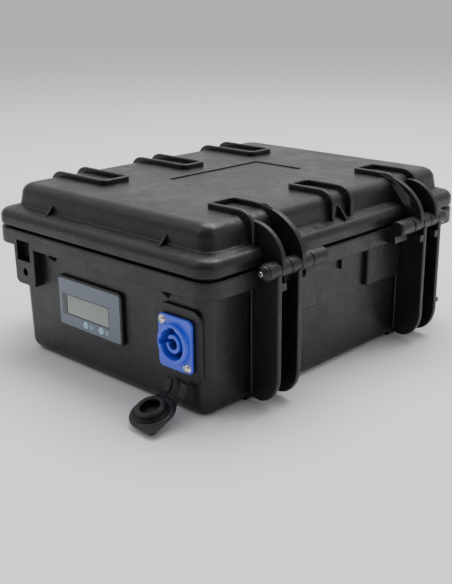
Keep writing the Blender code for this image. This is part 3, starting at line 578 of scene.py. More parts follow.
def foam():
    s = Surface("grey_foam", Specular_IOR_Level=0.2)
    pores = s.cells(900.0)
    s.colour(s.mix(pores, rgb(0.035, 0.035, 0.04), rgb(0.11, 0.11, 0.12)))
    s.uneven_sheen(400.0, 0.85, 0.97)
    s.bump(pores, 0.25, 0.9)
    return s.material


def circuit():
    s = Surface("circuit_board", Coat_Weight=0.3, Coat_Roughness=0.15)
    traces = s.add("ShaderNodeTexBrick", {
        "Vector": s.place, "Scale": 120.0, "Mortar Size": 0.03,
        "Color1": rgb(0.012, 0.085, 0.035), "Color2": rgb(0.016, 0.105, 0.045),
        "Mortar": rgb(0.03, 0.17, 0.08)})
    s.colour(traces.outputs["Color"])
    s.uneven_sheen(600.0, 0.28, 0.42)
    s.bump(s.noise(1500.0), 0.01, 0.4)
    return s.material


def socket_blue():
    s = Surface("socket_blue", Specular_IOR_Level=0.5)
    tone = s.noise(110.0, 2.0)
    base = s.mix(tone, rgb(0.058, 0.110, 0.80), rgb(0.070, 0.128, 0.88))
    rubbed = s.maths("MULTIPLY", s.edges(), 0.35)
    base = s.mix(rubbed, base, rgb(0.13, 0.20, 0.86))
    # Painted shade: inside the 8.9 mm hollow the blue darkens with depth, and within the spigot's
    # 3.2 mm bore it turns almost black.
    depth = s.remap(s.axis("Y"), (BARREL_FRONT + 2.0) * MM, (BARREL_FRONT + 9.0) * MM, 0.0, 0.82)
    from_middle = s.radius(SOCKET)
    inner = s.remap(from_middle, 8.95 * MM, 8.85 * MM)
    painted_bore_shade = s.maths("MULTIPLY", s.remap(from_middle, 3.3 * MM, 3.1 * MM), 0.95)
    painted_hollow_shade = s.maths("MAXIMUM", s.maths("MULTIPLY", depth, inner), painted_bore_shade)
    s.colour(s.mix(painted_hollow_shade, base, rgb(0.004, 0.008, 0.06)))
    s.uneven_sheen(420.0, 0.30, 0.42)
    s.bump(s.noise(1300.0, 2.0), 0.012, 0.5)
    return s.material


def overlay_film():
    s = Surface("printed_overlay", Coat_Weight=0.25, Coat_Roughness=0.3)
    tone = s.noise(60.0, 2.0)
    base = s.mix(tone, rgb(0.110, 0.131, 0.172), rgb(0.131, 0.154, 0.196))
    window = s.inside(LCD.x - LCD_SIZE.x / 2 - 5.2, LCD.x + LCD_SIZE.x / 2 + 1.0,
                      LCD.y - LCD_SIZE.y / 2 - 0.9, LCD.y + LCD_SIZE.y / 2 + 0.9)
    s.colour(s.mix(window, base, rgb(0.040, 0.046, 0.056)))
    s.uneven_sheen(800.0, 0.36, 0.48)
    s.bump(s.noise(2600.0, 2.0), 0.008, 0.6)
    return s.material


def lcd_glass():
    s = Surface("lcd_window", Coat_Weight=0.6, Coat_Roughness=0.06)
    # Painted light and shade: the window is coloured lighter at its bottom and darker towards its
    # top.
    painted_light_ramp = s.remap(s.axis("Z"), (LCD.y - 6.0) * MM, (LCD.y + 6.0) * MM)
    base = s.mix(painted_light_ramp, rgb(0.215, 0.268, 0.222), rgb(0.150, 0.186, 0.160))
    patches = s.noise(60.0, 2.0)
    s.colour(s.mix(s.maths("MULTIPLY", patches, 0.4), base, rgb(0.235, 0.290, 0.245)))
    s.uneven_sheen(300.0, 0.16, 0.24)
    s.bump(s.noise(900.0), 0.004, 0.4)
    return s.material


PLASTICS = {
    "cell_film": ((0.045, 0.13, 0.33), 0.36),
    "button_blue": ((0.34, 0.58, 0.72), 0.38),
    "component_black": ((0.022, 0.022, 0.023), 0.5),
    "fuse_amber": ((0.62, 0.20, 0.012), 0.25),
    "red_insulation": ((0.40, 0.014, 0.012), 0.4),
    "black_insulation": ((0.020, 0.020, 0.021), 0.42),
    "grey_insulation": ((0.19, 0.19, 0.20), 0.45),
}
METALS = {
    "bright_steel": ((0.86, 0.84, 0.80), 0.27),
    "plated_copper": ((0.78, 0.60, 0.44), 0.3),
    "end_plate_grey": ((0.50, 0.51, 0.53), 0.42),
    "steel_band": ((0.56, 0.56, 0.57), 0.34),
    "plain_aluminium": ((0.74, 0.74, 0.75), 0.36),
}
SURFACES = {
    "case_plastic": case_plastic(),
    "black_rubber": rubber(),
    "grey_foam": foam(),
    "printed_overlay": overlay_film(),
    "lcd_window": lcd_glass(),
    "circuit_board": circuit(),
    "socket_blue": socket_blue(),
}
SURFACES |= {name: plain_plastic(name, *look) for name, look in PLASTICS.items()}
SURFACES |= {name: metal(name, *look) for name, look in METALS.items()}


def dress_cad_nodes():
    """Every node that stays gets its own slot's material and softened edges."""
    for entry in frame["record"]["subparts"]:
        node = frame["nodes"][entry["node"]]
        node.data.materials.clear()
        node.data.materials.append(SURFACES[entry["material_slot"]])
        if node.hide_render:
            continue
        weld = node.modifiers.new("one skin", "WELD")
        weld.merge_threshold = 0.01 * MM
        bevel = node.modifiers.new("soft edges", "BEVEL")
        bevel.width = 0.25 * MM
        bevel.segments = 2
        bevel.limit_method = "ANGLE"
        bevel.angle_limit = math.radians(50.0)
        bevel.harden_normals = False


# ---------------------------------------------------------------- lid


def quarter(start, end, steps, bulge_out=True):
    """Points (inset, z) along a quarter turn from one to another."""
    turn = arc((0.0, 0.0), 1.0, 0, 90, steps)
    shares = [(1 - x, y) if bulge_out else (y, 1 - x) for x, y in turn]
    wide, high = end[0] - start[0], end[1] - start[1]
    return [(start[0] + wide * a, start[1] + high * b) for a, b in shares]


def lid_skin():
    inner = grown(LID_BODY, -WALL)
    ceiling = LID_TOP - WALL
    sections = [(grown(inner, -5.0), 3.0, ceiling)]
    sections += [(grown(inner, inset - 5.0), 3.0 + inset * 0.8, z)
                 for inset, z in quarter((0.0, ceiling), (5.0, ceiling - 5.0), 4, False)[1:]]
    sections.append((inner, LID_RADIUS - WALL, LID_BOTTOM))
    sections += [(grown(RIM, -1.3), RIM_RADIUS - 1.3, LID_BOTTOM)]
    sections += [(grown(RIM, inset - 1.3), RIM_RADIUS + inset - 1.3, z)
                 for inset, z in quarter((0.0, LID_BOTTOM), (1.3, LID_BOTTOM + 1.5), 4, False)[1:]]
    for inset, z in quarter((0.0, 87.6), (4.6, 92.9), 7):
        sections.append((grown(RIM, -inset), RIM_RADIUS - inset * 0.9, z))
    foot = grown(LID_BODY, 1.6)
    sections.append((mixed(grown(RIM, -4.6), foot, 0.5), LID_RADIUS - 0.6, 93.7))
    sections.append((foot, LID_RADIUS + 0.8, CREASE - 0.3))
    for inset, z in quarter((0.0, CREASE - 0.3), (1.5, CREASE + 1.6), 4, False)[1:]:
        sections.append((grown(foot, -inset), LID_RADIUS + 0.8 - inset, z))
    for inset, z in quarter((0.6, LID_TOP - LID_FILLET), (0.6 + LID_FILLET, LID_TOP), 9):
        sections.append((grown(LID_BODY, -inset), LID_RADIUS - inset * 0.75, z))
    return loft("lid_skin", sections)


def rib_section():
    """Across and outward: a slightly tapered rib with a round top, its foot inside the lid."""
    half = RIB_WIDTH / 2
    top = arc((half - 1.05, -1.0), 1.0, 0, 90, 4) + arc((-half + 1.05, -1.0), 1.0, 90, 180, 4)
    return [(half, -5.0)] + top + [(-half, -5.0)]


def leg_path(y, inner_x, sign):
    """Along the top, over the edge and down to the flange, with the way out at each point."""
    side = LID_BODY[1] + RIB_REACH if sign > 0 else -(LID_BODY[0] - RIB_REACH)
    bend = arc((side - RIB_BEND, RIB_TOP - RIB_BEND), RIB_BEND, 90, 0, 12)
    path = [(inner_x, RIB_TOP)] + bend + [(side, CREASE - 1.6)]
    ways = [(0.0, 1.0)] + arc((0.0, 0.0), 1.0, 90, 0, 12) + [(1.0, 0.0)]
    return [(x * sign, y, z) for x, z in path], [(x * sign, 0.0, z) for x, z in ways]


def rib_pair(name, centre, half, inner_x, sign):
    """One U of ribs: two legs over the lid's edge, joined on top by a rounded end."""
    reach, bend = half - RIB_WIDTH / 2, 3.4
    turn_x = inner_x + RIB_WIDTH / 2 + bend
    first, first_ways = leg_path(centre - reach, turn_x, sign)
    last, last_ways = leg_path(centre + reach, turn_x, sign)
    corners = []
    for side in (-1, 1):
        corner = arc((turn_x, centre + side * (reach - bend)), bend, side * 90, side * 180, 6)
        corners.append([(x * sign, y, RIB_TOP) for x, y in corner])
    near, far = corners
    path = first[::-1] + near[1:] + far[::-1][:-1] + last
    ways = first_ways[::-1] + [(0, 0, 1)] * (len(near) + len(far) - 2) + last_ways
    return sweep(name, path, ways, rib_section())


def arm_outline(top_z, start_x):
    tip = FIN_EDGE - 0.2
    root = [(86.4, CREASE - 1.0), (86.4, min(top_z, 106.6)), (start_x, top_z)]
    edge = arc((start_x, HINGE[1] + 2.0), (tip - start_x, top_z - HINGE[1] - 2.0), 90, 8, 20)
    heel = [(tip, HINGE[1]), HINGE, (HINGE[0] - 4.0, 84.4), (96.0, 84.4), (96.0, 92.0)]
    return root + edge[1:] + heel


def knuckle(name, side, span, edge=0.5):
    low, high = mirrored(span, side)
    return rod(name, (HINGE[0], low, HINGE[1]), "Y", KNUCKLE_RADIUS, high - low, edge)


def wall_rib(name, outline, plane, middle, thickness=1.8):
    return plate(name, outline, plane, middle - thickness / 2, middle + thickness / 2, 0.35)


def lid_gussets():
    made = []
    for x in (-48.0, 55.0):
        for side, wall in ((-1, LID_BODY[2]), (1, LID_BODY[3])):
            tip = wall + side * GUSSET_DEPTH
            outline = [(wall - side * 2.0, 92.0), (tip, 92.0), (tip, CREASE - 0.4)]
            outline += [(wall, GUSSET_TOP), (wall - side * 2.0, GUSSET_TOP)]
            made.append(wall_rib("lid_gusset", outline, "YZ", x))
    for sign in (-1, 1):
        outline = [(86.0, 92.0), (94.0, 92.0), (94.0, CREASE - 0.4), (88.4, 101.0), (86.0, 101.0)]
        made.append(wall_rib("side_gusset", [(x * sign, z) for x, z in outline], "XZ", 0.0))
    return made


def lid_additions():
    made = lid_gussets()
    centre = (INNER_ARM[0] + OUTER_RIB[1]) / 2
    half = (OUTER_RIB[1] - INNER_ARM[0]) / 2
    for sign, inner_x in ((1, 54.0), (-1, 35.0)):
        for middle in (-centre, 0.0, centre):
            made.append(rib_pair("ribs", middle, half if middle else 10.5, inner_x, sign))
    for side in (-1, 1):
        low, high = mirrored(INNER_ARM, side)
        outline = arm_outline(RIB_TOP - 0.06, 71.0)
        made.append(plate("inner_arm", outline, "XZ", low - 0.15, high + 0.15, 0.7, 3))
        low, high = mirrored(OUTER_ARM, side)
        made.append(plate("outer_arm", arm_outline(106.2, 87.5), "XZ", low, high, 0.7, 3))
        for span in LID_KNUCKLES:
            made.append(knuckle("lid_knuckle", side, span))
        for edge in (-1, 1):
            low = side * LATCH_Y + edge * (LATCH_HALF + 1.9) - 1.5
            ear = arc(LATCH_PIVOT, 4.2, 100, 260, 14) + [(-96.0, 84.6), (-96.0, 92.5)]
            made.append(plate("latch_ear", ear, "XZ", low, low + 3.0, 0.6))
    return made


def cut_rod(start, radius, length, steps=24):
    """A plain cylinder along +Y that cuts a round hole."""
    profile = [(0.0, 0.0), (radius, 0.0), (radius, length), (0.0, length)]
    return lathe("cut", profile, start, "Y", steps)


def hinge_bore(side):
    low, high = mirrored(HINGE_BORE, side)
    return cut_rod((HINGE[0], low, HINGE[1]), BORE_RADIUS, high - low)


def lid_cuts():
    made = []
    for side in (-1, 1):
        made.append(hinge_bore(side))
        start = (LATCH_PIVOT[0], side * LATCH_Y - 24.0, LATCH_PIVOT[1])
        made.append(cut_rod(start, BORE_RADIUS, 48.0))
    recess = rounded_rectangle((-21.0, 21.0, -38.5, 46.5), 1.6, 5)
    made.append(plate("recess", recess, "XY", LID_TOP - 0.7, LID_TOP + 5.0))
    return made


def make_lid():
    lid = united("lid", lid_skin(), lid_additions(), lid_cuts())
    finish_piece(lid, "lid", "case_plastic", ["lid_shell"])


# ---------------------------------------------------------------- base


def fillet_sections(rectangle, foot, radius, fillet, steps):
    made = []
    for inset, z in arc((fillet, fillet), fillet, 270, 180, steps):
        made.append((grown(foot, -inset), max(radius - inset, 1.5), z))
    made.append((rectangle, radius, RIM_BOTTOM))
    return made


def base_skin():
    outside = fillet_sections(BASE, BASE_FOOT, BASE_RADIUS, BOTTOM_FILLET, 8)
    rim = [(grown(RIM, -0.9), RIM_RADIUS - 0.9, RIM_BOTTOM)]
    rim += [(grown(RIM, inset - 0.9), RIM_RADIUS + inset - 0.9, z)
            for inset, z in quarter((0.0, RIM_BOTTOM), (0.9, RIM_BOTTOM + 0.9), 3, False)[1:]]
    rim += [(grown(RIM, -inset), RIM_RADIUS - inset, z)
            for inset, z in quarter((0.0, RIM_TOP - 1.1), (1.1, RIM_TOP), 3)]
    for inset, z in ((3.2, RIM_TOP), (3.2, RIM_TOP - 1.8), (6.4, RIM_TOP - 1.8), (6.4, RIM_TOP)):
        rim.append((grown(RIM, -inset), RIM_RADIUS - inset, z))
    inner, inner_foot = grown(BASE, -WALL), grown(BASE_FOOT, -WALL)
    inside = [(inner, BASE_RADIUS - WALL, RIM_TOP)]
    hollow = fillet_sections(inner, inner_foot, BASE_RADIUS - WALL, 5.0, 4)[:-1]
    inside += [(rectangle, corner, z + WALL) for rectangle, corner, z in reversed(hollow)]
    return loft("base_skin", outside + rim + inside)


def fin_outline():
    corner = (14.4, 18.0)
    lower = arc((FIN_EDGE - corner[0], 3.1 + corner[1]), corner, 0, -90, 14)
    head = [(88.3, 72.0), (96.4, 72.0), (96.4, 80.5), (HINGE[0], 80.5), (FIN_EDGE, 80.0)]
    return head + lower + [(88.6, 4.0), (88.3, 12.0)]


def hinge_side(side):
    """Fins, pegs, knuckles, their bridges, the raised pad and the foot of one hinge."""
    made = []
    for span in (OUTER_FIN, INNER_FIN):
        low, high = mirrored(span, side)
        made.append(plate("fin", fin_outline(), "XZ", low, high, 0.8, 3))
        low, high = mirrored((min(span) - 4.0, min(span) + 1.0), side)
        made.append(box("peg", (FIN_EDGE - 4.5, low, 70.5), (FIN_EDGE - 0.2, high, 75.0), 0.4))
    for span in BASE_KNUCKLES:
        made.append(knuckle("base_knuckle", side, span, 1.4 if span == BASE_KNUCKLES[2] else 0.5))
        low, high = mirrored((span[0], min(span[1], OUTER_FIN[1])), side)
        made.append(box("bridge", (96.0, low + 0.1, 72.4), (HINGE[0] - 1.0, high - 0.1, 80.6), 0.5))
    made.append(dome(side))
    bead = (91.0, side * (OUTER_FIN[1] + 0.15), 6.0)
    made.append(rod("bead", bead, "Z", 0.75, RIM_BOTTOM - 5.5, 0.3, 16))
    bead = (90.6, side * (INNER_FIN[0] - 0.15), 6.0)
    made.append(rod("bead", bead, "Z", 0.75, 39.6, 0.3, 16))
    low, high = mirrored((25.0, 61.2), side)
    made.append(box("pad", (88.4, low, 45.0), (93.4, high, RIM_BOTTOM + 1.0), 1.6, 4))
    low, high = mirrored((INNER_FIN[0], OUTER_FIN[1]), side)
    foot = [(78.0, 0.0)] + arc((85.4, 2.0), 2.0, -90, 0, 5) + [(87.4, 3.0), (78.0, 2.0)]
    made.append(plate("foot", foot, "XZ", low - 0.1, high + 0.1))
    return made


def dome(side):
    """The rounded end of the outer knuckle."""
    start = side * (BASE_KNUCKLES[0][1] - 0.5)
    profile = [(0.0, 0.0), (4.4, 0.0)] + arc((0.0, 0.7), (4.4, 3.0), 0, 82, 7) + [(0.0, 3.7)]
    if side < 0:
        profile = [(radius, -along) for radius, along in profile]
    return lathe("dome", profile, (HINGE[0], start, HINGE[1]), "Y", 32)


def latch_side(side):
    low, high = mirrored(HANDLE_EAR, side)
    ear = arc(HANDLE_PIVOT, 5.5, 90, 270, 16) + [(-78.0, 52.0), (-78.0, 70.0)]
    outline = [(-56.0, RIM_BOTTOM + 2.0), (-77.6, RIM_BOTTOM + 2.0), (-77.0, 52.0)]
    outline += arc((-73.0, 50.8), 4.2, 200, 270, 7) + arc((-59.0, 49.4), 3.0, 270, 360, 6)
    start, end = mirrored((BASE[3] - 1.8, RIM[3] - 0.05), side)
    return [
        plate("handle_ear", ear, "XZ", low, high, 0.6),
        plate("bracket", outline, "XZ", start, end, 0.7),
    ]


def base_additions():
    made = []
    for side in (-1, 1):
        made += hinge_side(side) + latch_side(side)
        for x in (-42.0, 61.5):
            wall, tip = side * (BASE[3] - 1.0), side * (RIM[3] - 0.6)
            outline = [(wall, RIM_BOTTOM + 1.0), (tip, RIM_BOTTOM + 1.0)]
            outline += [(tip, RIM_BOTTOM - 0.6), (wall, 64.5)]
            made.append(wall_rib("gusset", outline, "YZ", x))
    made.append(box("hinge_gusset", (88.4, -1.0, 62.0), (92.0, 1.0, RIM_BOTTOM + 1.0), 0.4))
    made.append(box("far_peg", (FIN_EDGE - 3.2, 81.0, 24.0), (FIN_EDGE - 0.4, 84.4, 27.0), 0.4))
    return made


def base_cuts():
    made = []
    for side in (-1, 1):
        made.append(hinge_bore(side))
        low, high = mirrored((HANDLE_EAR[0] - 1.0, HANDLE_EAR[1] + 1.0), side)
        start = (HANDLE_PIVOT[0], low, HANDLE_PIVOT[1])
        made.append(cut_rod(start, HANDLE_BORE_RADIUS, high - low))
        low, high = mirrored((BASE[3] + 0.4, RIM[3] + 1.0), side)
        made.append(box("pocket", (-73.8, low, 62.3), (-60.2, high, 75.4)))
        made.append(cut_rod((-66.1, low, 55.2), 2.5, high - low))
    made.append(box("latch_lip", (RIM[0] - 1.0, -112.0, RIM_BOTTOM - 1.0), (-92.5, 112.0, 76.5)))
    low, high = PANEL - 3.0, PANEL + 6.0
    half = METER_OPENING / 2
    made.append(box("meter_opening", (METER.x - half.x, low, METER.y - half.y),
                    (METER.x + half.x, high, METER.y + half.y)))
    made.append(cut_rod((SOCKET.x, low, SOCKET.y), 11.9, high - low, steps=40))
    return made


def make_base():
    base = united("base", base_skin(), base_additions(), base_cuts())
    finish_piece(base, "base", "case_plastic", ["base_shell"])


# ---------------------------------------------------------------- latches and handle


def turned_about(item, pivot, degrees, axis):
    """Turns a part that was modelled in place about its hinge."""
    place = Matrix.Translation(Vector(pivot) * MM)
    turn = Matrix.Rotation(math.radians(degrees), 4, axis)
    item.data.transform(place @ turn @ place.inverted())
    return item


def make_seal():
    low, high = RIM_TOP - 1.5, LID_BOTTOM - 0.3
    outside, inside = SEAL_INSETS
    outline = rounded_rectangle(grown(RIM, -outside), RIM_RADIUS - outside)
    hole = rounded_rectangle(grown(RIM, -inside), RIM_RADIUS - inside)
    seal = plate("seal", outline, "XY", low, high, 0.4, hole=hole)
    finish_piece(seal, "lid", "black_rubber", ["lid_seal"])


def latch_outline():
    """The latch in profile, closed: barrel, plate, hook and turned-out finger lip."""
    x, z = LATCH_PIVOT
    barrel = arc((x, z), 3.6, 60, 205, 14)
    face = [(x - 3.6, z - 6.0), (x - 3.6, 56.0)]
    lip = arc((x - 7.8, 56.0), 4.2, 0, -60, 8)[1:]
    finger = arc((x - 8.1, 47.2), 1.5, 160, 300, 6) + arc((x - 7.8, 56.0), 7.4, -50, 0, 8)
    hook = [(x - 0.4, 72.2), (-97.2, 72.2), (-96.0, 73.6), (-96.0, 76.1), (-97.4, 76.1)]
    hook += [(x + 1.0, 75.0), (x + 1.0, z - 3.4)]
    return barrel + face + lip + finger + hook


def make_latches():
    x, z = LATCH_PIVOT
    for side, name in ((-1, "front_latch"), (1, "rear_latch")):
        middle = side * LATCH_Y
        latch = plate(name, latch_outline(), "XZ", middle - LATCH_HALF, middle + LATCH_HALF, 0.7, 3)
        cuts = [cut_rod((x, middle - 20.0, z), BORE_RADIUS, 40.0)]
        for edge in (-1, 1):
            low, high = sorted((middle + edge * 2.2, middle + edge * 14.6))
            cuts.append(box("pocket", (x - 6.0, low, 58.5), (x - 2.8, high, 78.0), 0.5))
        ridges = []
        for step in range(3):
            level = 60.0 - 2.6 * step
            low = (x - 4.2, middle - LATCH_HALF + 3.0, level - 3.2)
            high = (x - 3.0, middle + LATCH_HALF - 3.0, level - 2.2)
            ridges.append(box("ridge", low, high, 0.35))
        latch = united(name, latch, ridges, cuts)
        turned_about(latch, (x, middle, z), LATCH_RELEASED_DEG, "Y")
        finish_piece(latch, name, "case_plastic", [f"latch_{name[:-6]}"])


def handle_outline():
    """The hanging handle seen from the latch side, as (y, z)."""
    half, inner = HANDLE_HALF, HANDLE_HALF - 8.0
    top, bottom = HANDLE_PIVOT[1] + 4.6, 22.0
    outer = arc((-half + 12.0, bottom + 12.0), 12.0, 180, 270, 8)
    outer += arc((half - 12.0, bottom + 12.0), 12.0, 270, 360, 8)
    hollow = arc((inner - 6.0, bottom + 16.0), 6.0, 360, 270, 6)
    hollow += arc((-inner + 6.0, bottom + 16.0), 6.0, 270, 180, 6)
    return [(-half, top)] + outer + [(half, top), (inner, top)] + hollow + [(-inner, top)]


def make_handle():
    x, z = HANDLE_PIVOT
    handle = plate("handle", handle_outline(), "YZ", x - 4.4, x + 4.4, 2.2, 4)
    cuts = [cut_rod((x, -50.0, z), HANDLE_BORE_RADIUS, 100.0)]
    for step in range(-6, 7):
        groove = step * 4.4
        for low, high in ((x - 5.0, x - 3.9), (x + 3.9, x + 5.0)):
            cuts.append(box("groove", (low, groove - 0.7, 23.6), (high, groove + 0.7, 30.4), 0.25))
    handle = united("handle", handle, [], cuts)
    finish_piece(handle, "handle", "case_plastic", ["carry_handle"])


# ---------------------------------------------------------------- meter


def panel_rectangle(centre, size, radius, steps=6):
    half = size / 2
    rectangle = (centre.x - half.x, centre.x + half.x, centre.y - half.y, centre.y + half.y)
    return rounded_rectangle(rectangle, radius, steps)


def panel_plate(name, centre, size, radius, front, back, edge=0.0, hole=None):
    return plate(name, panel_rectangle(centre, size, radius), "XZ", front, back, edge, hole=hole)


def meter_cuts():
    """Openings for the display and the two keys."""
    front = PANEL - 6.0
    cuts = [panel_plate("lcd_cut", LCD, LCD_SIZE + Vector((0.3, 0.3)), 0.5, front, PANEL + 4.0)]
    for place in BUTTONS:
        cuts.append(cut_rod((place.x, front, place.y), BUTTON_RADIUS + 0.3, 9.0))
    return cuts


def make_meter():
    front = PANEL - 0.3
    pocket = panel_rectangle(METER, METER_SIZE - Vector((2.6, 2.6)), 2.0)
    rim = panel_plate("meter_frame", METER, METER_SIZE, 3.0, front - 2.0, front, 0.5, pocket)
    body = METER_SIZE - Vector((1.2, 1.2))
    backing = panel_plate("backing", METER, body, 2.4, front - 1.3, front - 0.1)
    body = METER_SIZE - Vector((4.2, 4.6))
    skirt_hole = panel_rectangle(METER, body - Vector((1.8, 1.8)), 0.6)
    skirt = panel_plate("skirt", METER, body, 1.0, front - 0.5, front + 11.0, 0.0, skirt_hole)
    bezel = united("meter_frame", rim, [backing, skirt], meter_cuts())
    finish_piece(bezel, "base", "component_black", ["meter_bezel"])
    sheet = METER_SIZE - Vector((3.0, 3.0))
    overlay = panel_plate("overlay", METER, sheet, 1.8, front - 2.0, front - 1.6)
    overlay = united("overlay", overlay, [], meter_cuts())
    finish_piece(overlay, "base", "printed_overlay", ["meter_overlay"])
    glass = panel_plate("display", LCD, LCD_SIZE, 0.4, front - 1.8, front + 2.4, 0.15)
    finish_piece(glass, "base", "lcd_window", ["meter_lcd"])
    for place, name in zip(BUTTONS, ("left", "right")):
        profile = [(0.0, -0.18), (0.8, -0.14), (1.5, 0.0)]
        profile += arc((BUTTON_RADIUS - 0.4, 0.4), 0.4, -60, 0, 4)
        profile += [(BUTTON_RADIUS, 4.2), (0.0, 4.2)]
        key = lathe(f"{name}_key", profile, (place.x, front - 2.2, place.y), "Y", 32)
        finish_piece(key, f"{name}_button", "button_blue", [f"meter_button_{name}"])
        spot = place + Vector((5.3, -0.2))
        mark = panel_plate("mark", spot, Vector((2.3, 2.3)), 1.1, front - 2.05, front - 1.9,
                           hole=panel_rectangle(spot, Vector((1.3, 1.3)), 0.6))
        mark.name = f"{name}_key_mark"
        finish_piece(mark, "base", "button_blue")


# ---------------------------------------------------------------- socket


def make_socket():
    back = FLANGE_FRONT + 2.2
    flange = plate("flange", panel_rectangle(SOCKET, FLANGE, 3.2), "XZ", FLANGE_FRONT, back, 0.7, 3,
                   hole=arc(SOCKET, 10.2, 0, 350, 35))
    profile = [(0.0, HOLLOW_DEPTH), (HOLLOW_RADIUS, HOLLOW_DEPTH), (HOLLOW_RADIUS, 0.7)]
    profile += arc((HOLLOW_RADIUS + 0.6, 0.6), 0.6, 180, 270, 4)[1:]
    profile += arc((BARREL_RADIUS - 0.7, 0.7), 0.7, 270, 360, 4)
    profile += [(BARREL_RADIUS, BARREL_DEPTH), (0.0, BARREL_DEPTH)]
    barrel = lathe("barrel", profile, (SOCKET.x, BARREL_FRONT, SOCKET.y), "Y", 64)
    cuts = [cut_rod((x, FLANGE_FRONT - 1.0, z), SCREW_HOLE_RADIUS, 5.0) for x, z in SCREWS]
    cuts.append(box("key_top", (SOCKET.x - 2.6, BARREL_FRONT - 1.0, SOCKET.y + 6.0),
                    (SOCKET.x + 2.6, BARREL_FRONT + 9.0, SOCKET.y + 9.9)))
    cuts.append(box("key_left", (SOCKET.x - 10.1, BARREL_FRONT - 1.0, SOCKET.y - 1.6),
                    (SOCKET.x - 6.0, BARREL_FRONT + 9.0, SOCKET.y + 1.6)))
    housing = united("socket", flange, [barrel], cuts)
    finish_piece(housing, "base", "socket_blue", ["socket_housing"])
    ring = arc(SOCKET, SPIGOT_RADII[1], 140, -180, 40) + arc(SOCKET, SPIGOT_RADII[0], -180, 140, 32)
    insert = plate("spigot", ring, "XZ", BARREL_FRONT + 1.2, BARREL_FRONT + 13.7, 0.4, 3)
    finish_piece(insert, "base", "socket_blue", ["socket_insert"])
    make_screws()
    make_gasket()


def make_screws():
    """Pan heads with a cross recess, each turned by its own amount."""
    for (x, z), place, turn in zip(SCREWS, ("upper", "lower"), (25.0, 62.0)):
        head = [(0.0, -1.3)] + arc((0.0, 0.6), (2.9, 1.9), -80, -18, 9) + [(2.9, 0.3)]
        profile = head + [(1.5, 0.3), (1.5, 11.6), (0.0, 11.6)]
        start = (x, FLANGE_FRONT - 0.3, z)
        screw = lathe(f"{place}_screw", profile, start, "Y", 32)
        bars = []
        for extra in (0.0, 90.0):
            low, high = (x - 1.7, start[1] - 2.0, z - 0.38), (x + 1.7, start[1] - 0.5, z + 0.38)
            bars.append(turned_about(box("bar", low, high), start, turn + extra, "Y"))
        screw = united(screw.name, screw, [], [boolean(bars[0], bars[1:], "UNION")])
        finish_piece(screw, "base", "bright_steel", [f"socket_screw_{place}"])


def make_gasket():
    """The rubber plate behind the flange; it shows above it and on its hinge side."""
    left, right, low, high = (56.9, BASE[1] - 1.0, 21.4, 63.6)
    outline = arc((right - 7.0, high - 7.0), 7.0, 0, 90, 8)
    outline += arc((left + 4.0, high - 4.0), 4.0, 90, 180, 6)
    outline += arc((left + 3.0, low + 3.0), 3.0, 180, 270, 6)
    outline += arc((right - 4.0, low + 4.0), 4.0, 270, 360, 6)
    front = FLANGE_FRONT + 2.5
    hole = arc(SOCKET, 11.85, 0, 350, 35)
    gasket = plate("gasket", outline, "XZ", front, PANEL - 0.3, 0.5, 2, hole=hole)
    cuts = [cut_rod((x, front - 1.0, z), SCREW_HOLE_RADIUS, 4.0) for x, z in SCREWS]
    gasket = united("gasket", gasket, [], cuts)
    finish_piece(gasket, "base", "black_rubber", ["socket_gasket"])


def smoothed(points, parts=6):
    """A softly bent run through a few points."""
    points = [Vector(point) for point in points]
    padded = [points[0] * 2 - points[1], *points, points[-1] * 2 - points[-2]]
    made = []
    for index in range(len(points) - 1):
        before, start, end, after = padded[index:index + 4]
        for step in range(parts):
            t = step / parts
            made.append(0.5 * (2 * start + (end - before) * t
                               + (2 * before - 5 * start + 4 * end - after) * t * t
                               + (3 * start - before - 3 * end + after) * t * t * t))
    return made + [points[-1]]


def cap_strap(x):
    """A strap as it lies with the cap closed: from its root it bows out and up to the cap."""
    root_y, root_z = CAP_AXIS
    cap_y = BARREL_FRONT - 1.3
    middle = ((root_y + cap_y) / 2 - 2.2, root_z + 4.0)
    end = [(cap_y - 0.2, root_z + 9.5), (cap_y, root_z + 12.0)]
    run = smoothed([(root_y, root_z + 0.2), middle, *end])
    path, ways = [], []
    for index, here in enumerate(run):
        along = (run[min(index + 1, len(run) - 1)] - run[max(index - 1, 0)]).normalized()
        path.append((SOCKET.x + x, here.x, here.y))
        ways.append((0.0, -along.y, along.x))
    section = arc((1.8, 0.0), (0.6, 0.95), 90, -90, 6) + arc((-1.8, 0.0), (0.6, 0.95), 270, 90, 6)
    return sweep("strap", path, ways, section)


def make_cap():
    """Modelled closed over the socket, then swung out and down about the strap roots."""
    back = BARREL_FRONT - 0.3
    disc = arc(SOCKET, CAP_RADIUS, 84, 366, 48)
    tip_angle = math.radians(45.0)
    tip = SOCKET + Vector((math.cos(tip_angle), math.sin(tip_angle))) * (CAP_RADIUS + 2.4)
    tab = arc(tip, 3.0, 5, 85, 8)
    cap = plate("cap", disc + tab, "XZ", back - 2.0, back - 0.5, 0.6, 3)
    centre = (SOCKET.x, back, SOCKET.y)
    lip = [(9.9, -0.8), (10.3, -0.2), (11.1, 0.0), (12.2, -0.1), (12.8, -0.6), (12.9, -1.2)]
    lip.append((9.9, -1.2))
    plug = [(5.6, -0.9), (5.6, 3.0)] + arc((6.6, 3.0), 1.0, 180, 90, 6)[1:]
    plug += arc((7.4, 2.8), 1.2, 90, 0, 6) + [(8.6, 0.3), (9.2, -0.3), (9.6, -0.9)]
    added = [ring_solid("lip", lip, centre), ring_solid("plug", plug, centre)]
    added += [cap_strap(x) for x in (-6.0, 6.0)]
    cap = united("cap", cap, added)
    turned_about(cap, (SOCKET.x, CAP_AXIS[0], CAP_AXIS[1]), CAP_OPEN_DEG, "X")
    finish_piece(cap, "cap", "black_rubber", ["sealing_cap"])


